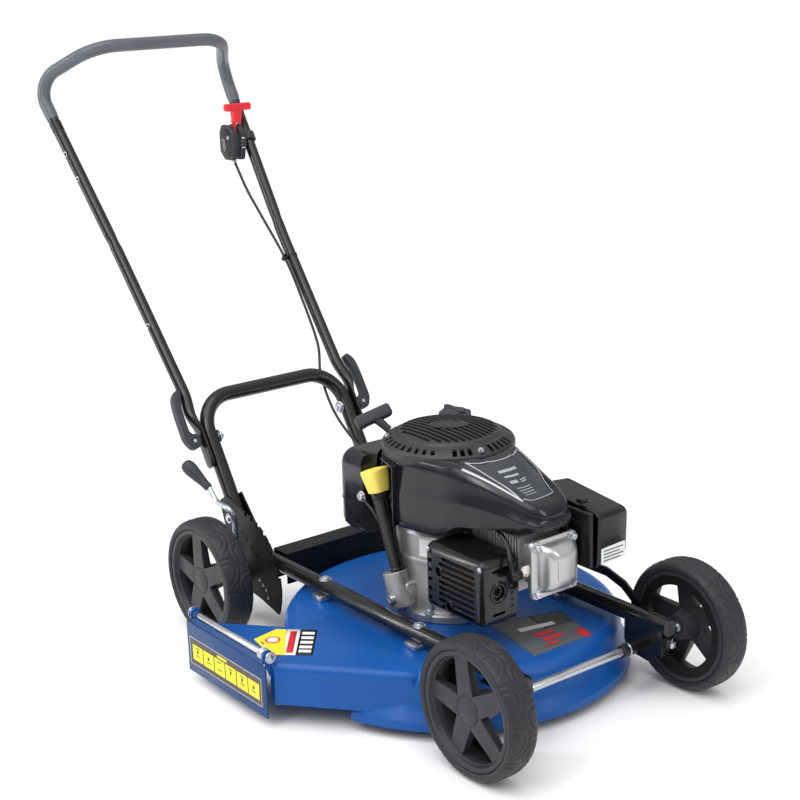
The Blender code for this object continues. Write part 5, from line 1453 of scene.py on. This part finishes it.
def ring_slot(turn, half, low, high):
    turn = radians(turn)
    way = Vector((cos(turn), sin(turn)))
    across = Vector((-way.y, way.x)) * half
    a, b = way * low, way * high
    ring = [a - across, b - across, b + across, a + across]
    return plate("vent", [(AXIS_X + p.x, p.y) for p in ring], "Z", 0.355, 0.385)


def build_tank():
    """Gloss black fuel tank behind the hood with its neck and lobed cap."""
    levels = [(0.214, 0.0120), (0.2155, 0.0060), (0.2200, 0.0020), (0.2280, 0.0)]
    levels += [(0.314 + 0.024 * sin(radians(a)), 0.022 * (1 - cos(radians(a)))) for a in range(0, 91, 10)]
    shape = bmesh.new()
    rings = []
    for z, inset in levels:
        low, high, near, far = -0.452 + inset, -0.290, -0.108 + inset, 0.118 - inset
        ring = rounded_outline([(low, near), (high, near - 0.003), (high, far), (low, far)], 0.030 - inset,
                               12)
        rings.append([shape.verts.new((x, y, z)) for x, y in ring])
    for one, two in zip(rings, rings[1:]):
        for k in range(len(one)):
            m = (k + 1) % len(one)
            shape.faces.new((one[k], one[m], two[m], two[k]))
    shape.faces.new(rings[-1])
    shape.faces.new(rings[0][::-1])
    tank = from_bmesh("tank", shape, None, 45)
    cut(tank, rod("recess", (AXIS_X, 0, 0.20), (AXIS_X, 0, 0.36), 0.1092, None, 96),
        box("trim", (-0.352, -0.13, 0.20), (-0.29, 0.13, 0.36)),
        box("notch", (-0.376, -0.135, 0.20), (-0.280, -0.064, 0.36), None, 0.010, 4), cap_path())
    neck = lathe("neck", [(0.0168, 0.325), (0.0215, 0.325), (0.0215, 0.3395), (0.0200, 0.3405),
                          (0.0200, 0.3530),
                          (0.0168, 0.3530)], (-0.4025, 0.0965, 0), UP, None, 56, True)
    seam = rounded_outline([(-0.4523, -0.1083), (-0.290, -0.1113), (-0.290, 0.1183), (-0.4523, 0.1183)],
                           0.030, 12)
    shape = [Vector((x, y, 0.2600)) for x, y in seam if x < -0.400]
    made = merged("fuel_tank_look", [tank, neck], GLOSS)
    smooth(made.data, 45)
    fix(made, "chassis", "fuel_tank")
    seam_line = sweep("tank_seam", sorted(shape, key=lambda p: atan2(p.y, p.x + 0.36) % (2 * pi)),
                      round_section(0.0007), GLOSS, 8, UP)
    fix(seam_line, "chassis")
    at = Vector((-0.4025, 0.0965, 0))
    lobes = []
    for k in range(96):
        t = 2 * pi * k / 96
        r = 0.0232 + 0.0030 * (0.5 + 0.5 * cos(6 * t)) ** 0.6
        lobes.append((at.x + r * cos(t), at.y + r * sin(t)))
    grip = plate("grip", lobes, "Z", 0.3460, 0.3650, None, edge=0.0016)
    skirt = lathe("skirt", [(0.0204, 0.3442), (0.0245, 0.3442), (0.0248, 0.3452), (0.0248, 0.3475),
                            (0.0204, 0.3475)],
                  at, UP, None, 64, True)
    crown = lathe("crown", [(0.0, 0.3690), (0.0120, 0.3690), (0.0150, 0.3680), (0.0190, 0.3645),
                            (0.0, 0.3640)], at, UP,
                  None, 64)
    bar = box("bar", (at.x - 0.0240, at.y - 0.0042, 0.3640), (at.x + 0.0240, at.y + 0.0042, 0.3718), None,
              0.0022, 3)
    cap = merged("fuel_cap_look", [grip, skirt, crown, bar], CHARCOAL)
    fix(cap, "fuel_cap_body", "fuel_cap")


ROPE_OUT = Vector((-0.4108, -0.0215, 0.3503))
ROPE_PULL = Vector((-0.0305, -0.0185, 0.0277)).normalized()


def build_grip():
    """T grip on the starter rope, with the eyelet that it rests against."""
    across = Vector((0.250, 0.920, 0.280)).normalized()
    at = ROPE_OUT + ROPE_PULL * 0.010
    centre = at + ROPE_PULL * 0.032
    third = ROPE_PULL.cross(across).normalized()
    pull = (ROPE_PULL - across * ROPE_PULL.dot(across)).normalized()
    place = Matrix((across, third, pull)).transposed().to_4x4()
    place.translation = centre
    bar = box("bar", (-0.0300, -0.0092, -0.0105), (0.0300, 0.0092, 0.0100), None, 0.0050, 4)
    bar.data.transform(place)
    stem = sweep("stem", resampled([at - ROPE_PULL * 0.001, centre], 0.004),
                 lambda i, count: (0.0062 + 0.0030 * (i / count) ** 2, 0.0056 + 0.0024 * (i / count)), None,
                 28, across)
    rope = rod("rope", ROPE_OUT + ROPE_PULL * 0.001, at + ROPE_PULL * 0.002, 0.0018, None, 16)
    grip = merged("starter_grip_look", [bar, stem, rope], CHARCOAL)
    fix(grip, "starter_grip_body", "starter_grip")
    eye = lathe("rope_eye", [(0.0030, -0.004), (0.0062, -0.006), (0.0078, -0.002), (0.0072, 0.0008),
                             (0.0050, 0.0014),
                             (0.0030, 0.0004)], ROPE_OUT, ROPE_PULL, SATIN, 40, True)
    fix(eye, "chassis")
    arm = sweep("rope_guide", smooth_route([ROPE_OUT - ROPE_PULL * 0.004, ROPE_OUT - ROPE_PULL * 0.010,
                                            Vector((-0.3990, -0.012, 0.3490)),
                                            Vector((-0.3860, -0.006, 0.3560))], 6),
                lambda i, count: (0.0090, 0.0065), GRAIN, 28, UP)
    fix(arm, "chassis")


def build_dipstick():
    """Black filler tube in its alloy boss, and the flared yellow cap."""
    length = (TUBE_TOP - TUBE_FOOT).length
    profile = [(0.0068, 0.0), (0.0105, 0.0), (0.0112, 0.0006), (0.0112, 0.0040), (0.0104, 0.0050),
               (0.0110, length * 0.4), (0.0125, length - 0.010), (0.0136, length - 0.0085),
               (0.0136, length - 0.002),
               (0.0130, length), (0.0068, length)]
    pipe = lathe("dipstick_tube_look", profile, TUBE_FOOT, RUN, BLACK, 56, True)
    fix(pipe, "chassis", "dipstick_tube")
    ribs = []
    for turn in (-40, -120, 160):
        way = Vector((cos(radians(turn)), sin(radians(turn)), 0))
        a = TUBE_FOOT + RUN * 0.004 + way * 0.0100
        b = TUBE_TOP - RUN * 0.012 + way * 0.0118
        ribs.append(sweep("rib", resampled([a, b], 0.03), lambda i, count: (0.0010, 0.0010), None, 10))
    fix(merged("dipstick_tube_ribs", ribs, BLACK), "chassis")
    base = TUBE_TOP + RUN * 0.0004
    shape = bmesh.new()
    rings = []
    levels = ((0.0, 0.0140, 0.0136), (0.0008, 0.0150, 0.0142), (0.006, 0.0160, 0.0148),
              (0.014, 0.0176, 0.0156),
              (0.022, 0.0192, 0.0164), (0.030, 0.0204, 0.0172), (0.0335, 0.0206, 0.0174),
              (0.0352, 0.0196, 0.0164),
              (0.0358, 0.0160, 0.0140), (0.0344, 0.0110, 0.0100), (0.0342, 0.0010, 0.0010))
    place = RUN.to_track_quat("Z", "Y").to_matrix()
    for h, a, b in levels:
        ring = []
        for k in range(64):
            t = 2 * pi * k / 64
            flat = (abs(cos(t)) ** 3.2 + abs(sin(t)) ** 3.2) ** (-1 / 3.2)
            ring.append(shape.verts.new(base + place @ Vector((a * flat * cos(t), b * flat * sin(t), h))))
        rings.append(ring)
    for one, two in zip(rings, rings[1:]):
        for k in range(64):
            shape.faces.new((one[k], one[(k + 1) % 64], two[(k + 1) % 64], two[k]))
    shape.faces.new(rings[-1])
    shape.faces.new(rings[0][::-1])
    cap = from_bmesh("cap", shape, None, 40)
    cap_only = merged("dipstick_look", [cap], YELLOW)
    fix(cap_only, "dipstick_body", "dipstick")
    blade = rod("dipstick_blade", base + RUN * 0.002, TUBE_FOOT - RUN * 0.028, 0.0020, STEEL, 12)
    fix(blade, "dipstick_body")
    strut = sweep("dipstick_strut", smooth_route([TUBE_FOOT + RUN * 0.072 + Vector((-0.010, -0.006, 0)),
                                                  Vector((-0.3560, -0.1080, 0.2580)),
                                                  Vector((-0.3740, -0.1095, 0.2700)),
                                                  Vector((-0.3790, -0.1095, 0.2740))], 6),
                  lambda i, count: (0.0010, 0.0032), BLACK, 12)
    fix(strut, "chassis")
    bolt = bolt_head("dipstick_bolt", (-0.3800, -0.1085, 0.2760), (0, -1, 0), 0.0062, 0.0058, ZINC, False)
    fix(bolt, "chassis")


AIR_LOW = Vector((-0.182, 0.0630, 0.207))
AIR_HIGH = Vector((-0.045, 0.1300, 0.310))


def build_air_cleaner():
    base = box("air_cleaner_base_look", (AIR_LOW.x + 0.002, 0.0535, 0.2105),
               (AIR_HIGH.x - 0.006, 0.0625, 0.296), SATIN,
               0.0040, 3)
    fix(base, "chassis", "air_cleaner_base")
    shape = bmesh.new()
    sections = []
    for share, grow in ((0.0, 0.0), (0.05, 0.0012), (0.06, 0.0012), (0.10, -0.0008), (0.5, -0.001),
                        (0.90, -0.003),
                        (0.96, -0.0055), (1.0, -0.010)):
        y = AIR_LOW.y + (AIR_HIGH.y - AIR_LOW.y) * share
        corners = [(AIR_LOW.x - grow, AIR_LOW.z - grow),
                   (AIR_HIGH.x + grow - 0.002, AIR_LOW.z + 0.004 - grow),
                   (AIR_HIGH.x + grow, AIR_HIGH.z - 0.016 + grow),
                   (AIR_LOW.x - grow, AIR_HIGH.z - 0.001 + grow)]
        ring = rounded_outline(corners, 0.010, 7)
        sections.append([shape.verts.new((a, y, b)) for a, b in ring])
    for one, two in zip(sections, sections[1:]):
        for k in range(len(one)):
            m = (k + 1) % len(one)
            shape.faces.new((one[k], one[m], two[m], two[k]))
    shape.faces.new(sections[-1])
    cover = from_bmesh("air_cleaner_cover_look", shape, SATIN, 35)
    if sum(f.normal.dot(f.center - (AIR_LOW + AIR_HIGH) / 2) for f in cover.data.polygons) < 0:
        cover.data.flip_normals()
    thick = cover.modifiers.new("wall", "SOLIDIFY")
    thick.thickness = 0.0025
    thick.offset = -1
    bake(cover)
    smooth(cover.data, 35)
    fix(cover, "chassis", "air_cleaner_cover")
    x = AIR_HIGH.x - 0.0012
    label = plate("air_label", rounded_outline([(0.0700, 0.2160), (0.1180, 0.2180), (0.1180, 0.2420),
                                                (0.0700, 0.2400)],
                                               0.001, 3), "X", x, x + 0.0016, PALE)
    fix(label, "chassis")
    lines = [plate("line", [(0.0740, z), (b, z + 0.0004), (b, z + 0.0022), (0.0740, z + 0.0018)], "X",
                   x + 0.0014,
                   x + 0.0019) for z, b in ((0.2200, 0.1080), (0.2250, 0.1140), (0.2300, 0.1060),
                                            (0.2350, 0.1130))]
    fix(merged("air_label_lines", lines, SLATE), "chassis")
    clip = []
    for cx in (-0.150, -0.082):
        clip.append(box("clip", (cx - 0.006, 0.060, 0.3030), (cx + 0.006, 0.074, 0.3095), None, 0.0015, 2))
    fix(merged("air_clips", clip, SATIN), "chassis")


def build_small_engine_parts():
    z = 0.228
    body = box("body", (-0.224, 0.0470, z - 0.014), (-0.1823, 0.0620, z + 0.014), None, 0.003, 2)
    bowl = lathe("bowl", [(0.0, -0.036), (0.0095, -0.036), (0.0120, -0.034), (0.0125, -0.030),
                          (0.0125, -0.014),
                          (0.0135, -0.013), (0.0135, -0.010), (0.0, -0.010)], (-0.203, 0.0610, z), UP, None,
                          40)
    screw = hex_nut("bowl_nut", (-0.203, 0.0610, z - 0.0362), (0, 0, -1), 0.008, 0.003, None)
    made = merged("carburettor_look", [body, bowl, screw], ALLOY)
    fix(made, "chassis", "carburettor")
    x, zp = -0.0885, z - 0.006
    plug = lathe("plug", [(0.0, 0.0), (0.0082, 0.0), (0.0082, 0.0060), (0.0060, 0.0075), (0.0055, 0.0140),
                          (0.0, 0.0140)],
                 (x, -0.0336, zp), (0, -1, 0), PORCELAIN, 24)
    plug.name = "spark_plug_look"
    fix(plug, "chassis", "spark_plug")
    boot = lathe("plug_boot", [(0.0, 0.0), (0.0078, 0.0), (0.0088, 0.0012), (0.0088, 0.0030),
                               (0.0080, 0.0038),
                               (0.0086, 0.0060), (0.0084, 0.0150), (0.0070, 0.0188), (0.0, 0.0200)],
                 (x, -0.0490, zp), (0, -1, 0), SATIN, 40)
    fix(boot, "chassis")
    lead = smooth_route([(x + 0.001, -0.0640, zp + 0.004), (x - 0.002, -0.0650, zp + 0.022),
                         (x - 0.018, -0.0560, 0.262),
                         (-0.130, -0.0500, 0.272), (-0.1550, -0.0420, 0.2790)], 10)
    fix(sweep("plug_lead", lead, round_section(0.0034), SATIN, 18), "chassis")
    breather = smooth_route([(-0.0900, 0.0440, 0.262), (-0.0980, 0.0500, 0.285), (-0.115, 0.056, 0.292),
                             (-0.130, 0.0600, 0.280)], 8)
    fix(sweep("breather_hose", breather, round_section(0.0042), SATIN, 18), "chassis")
    shroud = plate("cylinder_shroud", rounded_outline([(-0.205, 0.2500), (-0.094, 0.2500), (-0.094, 0.2730),
                                                       (-0.205, 0.2700)], 0.003, 4), "Y", 0.0445, 0.0465,
                                                       SATIN)
    fix(shroud, "chassis")
    rods = [smooth_route([(-0.212, 0.030, 0.256), (-0.205, 0.052, 0.262), (-0.200, 0.060, 0.250),
                          (-0.204, 0.061, 0.243)], 6),
            smooth_route([(-0.226, 0.046, 0.214), (-0.236, 0.060, 0.224), (-0.228, 0.072, 0.232),
                          (-0.2245, 0.078, 0.228)], 6)]
    fix(merged("linkage_rods", [sweep("rod", r, round_section(0.0011), None, 10) for r in rods], ZINC),
        "chassis")


def build_blades():
    """Cutter disc, blades, flywheel and shaft keep their shapes, with worked steel finishes."""
    for name in ("blade_disc", "blade_1", "blade_2", "blade_3", "blade_4", "crankshaft"):
        edge = NODES[name].modifiers.new("edge", "BEVEL")
        edge.width = 0.0004
        edge.segments = 2
        edge.limit_method = "ANGLE"
        edge.angle_limit = radians(45.0)


# ---- handle fittings ----------------------------------------------------------------------------
CAM_Y = 0.1765
FLAT_Y, FLAT_T = 0.155, 0.008


def build_cam_levers():
    for side, sign in (("right", -1), ("left", 1)):
        pivot = Vector((FOLD.x, sign * CAM_Y, FOLD.z))
        reach = CAM_Y - FLAT_Y - FLAT_T - 0.0006
        cam = arc((0, 0), reach, 130, 360, 26)
        arm = smooth_route([(reach, 0.0, 0), (0.020, 0.0042, 0), (0.040, 0.0040, 0), (0.060, 0.0032, 0),
                            (0.078, -0.0018, 0), (0.0880, -0.0038, 0), (0.0925, -0.0012, 0),
                            (0.0915, 0.0042, 0),
                            (0.080, 0.0128, 0), (0.062, 0.0158, 0), (0.045, 0.0168, 0), (0.020, 0.0170, 0),
                            (0.006, 0.0164, 0), (reach * cos(radians(130)), reach * sin(radians(130)), 0)], 5)
        outline = cam + [(p.x, p.y) for p in arm[1:-1]]
        to = Matrix(((LEG.x, 0.0, LEG_NORMAL.x, pivot.x), (LEG.y, sign, LEG_NORMAL.y, pivot.y),
                     (LEG.z, 0.0, LEG_NORMAL.z, pivot.z), (0, 0, 0, 1)))
        lever = plate("lever", outline, "Z", -0.0080, 0.0080, None, edge=0.0018, frame_to=to)
        ridges = []
        for k in range(6):
            at = 0.052 + 0.006 * k
            low = 0.0160 - 0.00012 * (k * 3) ** 1.6
            ridge = box("ridge", (at - 0.0009, low - 0.0006, -0.0055), (at + 0.0009, low + 0.0009, 0.0055),
                        None, 0.0005, 2)
            ridge.data.transform(to)
            ridges.append(ridge)
        made = merged(f"cam_lever_{side}_look", [lever, *ridges], CHARCOAL)
        fix(made, f"cam_lever_{side}_body", f"cam_lever_{side}")
        inner = sign * 0.1290
        shank = rod("shank", (FOLD.x, inner - sign * 0.010, FOLD.z), (FOLD.x, sign * 0.1628, FOLD.z), 0.0040,
                    None, 24)
        nut = hex_nut("nut", (FOLD.x, inner, FOLD.z), (0, -sign, 0), 0.0140, 0.0070, None)
        pin = rod("pin", pivot - LEG_NORMAL * 0.0087, pivot + LEG_NORMAL * 0.0087, 0.0032, None, 24,
                  edge=0.0006)
        bolt = merged(f"cam_bolt_{side}_look", [shank, nut, pin], ZINC)
        fix(bolt, "handle_body", f"cam_bolt_{side}")
        washer = lathe("cam_washer", [(0.0042, 0.0), (0.0110, 0.0), (0.0115, 0.0006), (0.0110, 0.0012),
                                      (0.0042, 0.0012)],
                       (FOLD.x, sign * (FLAT_Y - 0.0268), FOLD.z), (0, -sign, 0), ZINC, 40, True)
        fix(washer, "handle_body")


THROTTLE = Vector((-1.122, 0.1560, 0.7290))


def build_throttle():
    x, y, z = THROTTLE
    outline = rounded_outline([(x - 0.0235, z - 0.0180), (x - 0.0080, z - 0.0325), (x + 0.0180, z - 0.0325),
                               (x + 0.0235, z - 0.0120), (x + 0.0235, z + 0.0210), (x + 0.0100, z + 0.0325),
                               (x - 0.0160, z + 0.0325), (x - 0.0235, z + 0.0180)], 0.005, 6)
    half = plate("half", outline, "Y", y - 0.0148, y - 0.0040, None, edge=0.0020)
    back = plate("back", outline, "Y", y + 0.0040, y + 0.0148, None, edge=0.0020)
    inner = [(x + (a - x) * 0.80, z + (b - z) * 0.82 - 0.003) for a, b in outline]
    core = plate("core", inner, "Y", y - 0.0045, y + 0.0045)
    clamp = box("clamp", (-1.1120, y + 0.006, z - 0.0075), (-1.0960, 0.1715, z + 0.0075), None, 0.0015, 2)
    band = lathe("band", [(0.0116, -0.0080), (0.0142, -0.0080), (0.0146, -0.0070), (0.0146, 0.0070),
                          (0.0142, 0.0080),
                          (0.0116, 0.0080)], (-1.1135, 0.1841, 0.7355), (-0.600, 0.072, 0.790), None, 48,
                          True)
    housing = merged("throttle_housing_look", [half, back, core, clamp, band], CHARCOAL)
    fix(housing, "handle_body", "throttle_housing")
    inlay = [(x + (a - x) * 0.76, z + (b - z) * 0.80) for a, b in outline]
    pad = plate("throttle_pad", inlay, "Y", y - 0.0156, y - 0.0146, SATIN, edge=0.0003)
    fix(pad, "handle_body")
    marks = [plate("mark", capsule((x - 0.006 + 0.0045 * k, z - 0.016 + 0.004 * k),
                                   (x - 0.010 + 0.0045 * k, z + 0.006), 0.0007,
                                   6), "Y", y - 0.0162, y - 0.0154) for k in range(2)]
    marks.append(lathe("dot", [(0.0, 0.0010), (0.0030, 0.0010), (0.0036, 0.0), (0.0, 0.0)],
                       (x + 0.008, y - 0.0154, z + 0.010),
                       (0, -1, 0), None, 28))
    fix(merged("throttle_marks", marks, SILVER_AND_HIGHLIGHT), "handle_body")
    ticks = [box("tick", (x + 0.0232, y + 0.0055 + 0.0, z - 0.010 + 0.006 * k),
                 (x + 0.0240, y + 0.0125, z - 0.0078 + 0.006 * k))
             for k in range(4)]
    fix(merged("throttle_ticks", ticks, PALE), "handle_body")
    stem_outline = [(x + 0.0045, z + 0.004), (x + 0.0115, z + 0.004), (x + 0.0115, z + 0.038),
                    (x + 0.0150, z + 0.052),
                    (x + 0.0150, z + 0.064), (x + 0.0010, z + 0.064), (x + 0.0010, z + 0.052),
                    (x + 0.0045, z + 0.038)]
    stem = plate("stem", stem_outline, "Y", y - 0.0027, y + 0.0027, None, edge=0.0006)
    body = plate("grip_stem", rounded_outline([(y - 0.0035, z + 0.036), (y + 0.0125, z + 0.036),
                                               (y + 0.0165, z + 0.064),
                                               (y + 0.0005, z + 0.064)], 0.002, 4), "X", x + 0.0020,
                                               x + 0.0140, None,
                 edge=0.0010)
    bar = box("bar", (x + 0.0010, y - 0.0190, z + 0.0590), (x + 0.0150, y + 0.0370, z + 0.0728), None,
              0.0040, 4)
    lever = merged("throttle_lever_look", [stem, body, bar], RED)
    fix(lever, "throttle_lever_body", "throttle_lever")
    route = [(x, y, z - 0.0330), (-1.0800, 0.1550, 0.6440), (-1.0360, 0.1560, 0.5990),
             (-0.9560, 0.1515, 0.5300),
             (-0.9020, 0.1490, 0.4620), (-0.8450, 0.1410, 0.3870), (-0.8120, 0.1240, 0.3310),
             (-0.7520, 0.1200, 0.2620),
             (-0.640, 0.1250, 0.205), (-0.480, 0.1330, 0.186), (-0.330, 0.1220, 0.190),
             (-0.2245, 0.0800, 0.228)]
    cable = sweep("throttle_cable_look", smooth_route(route, 14), round_section(0.0025), SATIN, 16)
    cable.data.transform(Matrix.Translation(SHIFT))
    cable.location = (0, 0, 0)
    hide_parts("throttle_cable")
    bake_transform(cable)
    end = lathe("cable_ferrule", [(0.0026, 0.0), (0.0042, 0.0), (0.0044, 0.0010), (0.0040, 0.0080),
                                  (0.0030, 0.0100),
                                  (0.0026, 0.0100)], (x + 0.0008, y, z - 0.0325), (0.30, 0.0, -0.95), ZINC,
                                  28, True)
    fix(end, "handle_body")
    clip = lathe("cable_clip", [(0.0030, -0.005), (0.0050, -0.005), (0.0053, 0.0), (0.0050, 0.005),
                                (0.0030, 0.005)],
                 (-0.9560, 0.1515, 0.5300), (-0.62, 0.05, -0.78), SATIN, 28, True)
    fix(clip, "handle_body")
    tie = lathe("cable_tie", [(0.0102, -0.0020), (0.0116, -0.0020), (0.0116, 0.0020), (0.0102, 0.0020)],
                (-0.9560, 0.1665, 0.5300), (-0.60, 0.05, 0.78), SATIN, 48, True)
    fix(tie, "handle_body")


CAD_FINISH = {
    "rear_crossmember": DULL, "height_quadrant": DULL, "left_rear_bracket": BLACK,
    "left_front_bracket": BLACK,
    "right_front_bracket": BLACK, "height_link": BLACK, "crankshaft": STEEL, "blade_disc": STEEL,
    "blade_1": STEEL,
    "blade_2": STEEL, "blade_3": STEEL, "blade_4": STEEL,
}


def paint_cad():
    """The CAD pieces that stay in view take the same finishes."""
    for name, finish in CAD_FINISH.items():
        node = NODES[name]
        node.data.materials.clear()
        node.data.materials.append(finish)


# ---- studio -------------------------------------------------------------------------------------
def soft_light(name, at, target, size, power, colour=(1, 1, 1)):
    data = bpy.data.lights.new(name, "AREA")
    data.shape = "RECTANGLE"
    data.size, data.size_y = size
    data.energy = power
    data.color = colour
    made = bpy.data.objects.new(name, data)
    bpy.context.scene.collection.objects.link(made)
    made.location = at
    made.rotation_euler = (Vector(target) - Vector(at)).to_track_quat("-Z", "Y").to_euler()
    return made


def build_studio():
    shape = bmesh.new()
    bmesh.ops.create_grid(shape, x_segments=1, y_segments=1, size=60.0)
    floor = from_bmesh("studio_floor", shape, None)
    floor.location = (0, 0, -0.0004)
    paper = surface("studio_paper", (0.93, 0.93, 0.93), 0.85, grain=30, bump=0.02, shade=0.005)
    floor.data.materials.append(paper)
    world = bpy.data.worlds.new("studio")
    bpy.context.scene.world = world
    world.use_nodes = True
    sky = world.node_tree
    place = sky.nodes.new("ShaderNodeTexCoord")
    parts = sky.nodes.new("ShaderNodeSeparateXYZ")
    ramp = sky.nodes.new("ShaderNodeValToRGB")
    ramp.color_ramp.elements[0].position = 0.10
    ramp.color_ramp.elements[1].position = 0.85
    ramp.color_ramp.elements[0].color = (0.34, 0.34, 0.35, 1)
    ramp.color_ramp.elements[1].color = (1, 1, 1, 1)
    sky.links.new(place.outputs["Generated"], parts.inputs["Vector"])
    sky.links.new(parts.outputs["Z"], ramp.inputs["Fac"])
    sky.links.new(ramp.outputs["Color"], sky.nodes["Background"].inputs["Color"])
    sky.nodes["Background"].inputs["Strength"].default_value = 0.82
    sun = bpy.data.lights.new("overhead", "SUN")
    sun.energy = 1.55
    sun.angle = radians(60.0)
    lamp = bpy.data.objects.new("overhead", sun)
    bpy.context.scene.collection.objects.link(lamp)
    lamp.rotation_euler = (radians(18), radians(14), 0)
    soft_light("key", (0.9, -2.4, 2.3), (0.1, 0, 0.3), (0.4, 2.0), 20)
    soft_light("side", (-1.6, -2.0, 1.4), (-0.1, 0, 0.4), (0.25, 2.4), 26)
    soft_light("front", (2.6, 0.9, 1.5), (0.2, 0, 0.3), (0.35, 1.5), 9)
    view = bpy.context.scene.view_settings
    view.view_transform = "Standard"
    view.look = "None"
    camera = bpy.data.cameras.new("camera")
    camera.lens = 71.717
    camera.sensor_width = 36.0
    camera.shift_x, camera.shift_y = -0.00085, -0.00025
    camera.clip_end = 200.0
    made = bpy.data.objects.new("camera", camera)
    bpy.context.scene.collection.objects.link(made)
    right = Vector((0.61544, 0.78773, -0.02668))
    up = Vector((-0.20363, 0.19161, 0.96011))
    back = Vector((0.76142, -0.58546, 0.27833))
    place = Matrix((right, up, back)).transposed().to_4x4()
    place.translation = Vector((1.47977, -1.45938, 1.09320)) + SHIFT
    made.matrix_world = place
    bpy.context.scene.camera = made


build_wheels()
build_deck()
build_deck_prints()
build_deflector()
build_frame()
build_handles()
build_brackets()
build_cranks()
build_height_lever()
build_crankcase()
build_cylinder()
build_rocker_cover()
build_muffler()
build_hood()
build_grille()
build_tank()
build_grip()
build_dipstick()
build_air_cleaner()
build_small_engine_parts()
build_blades()
build_cam_levers()
build_throttle()
paint_cad()
build_studio()
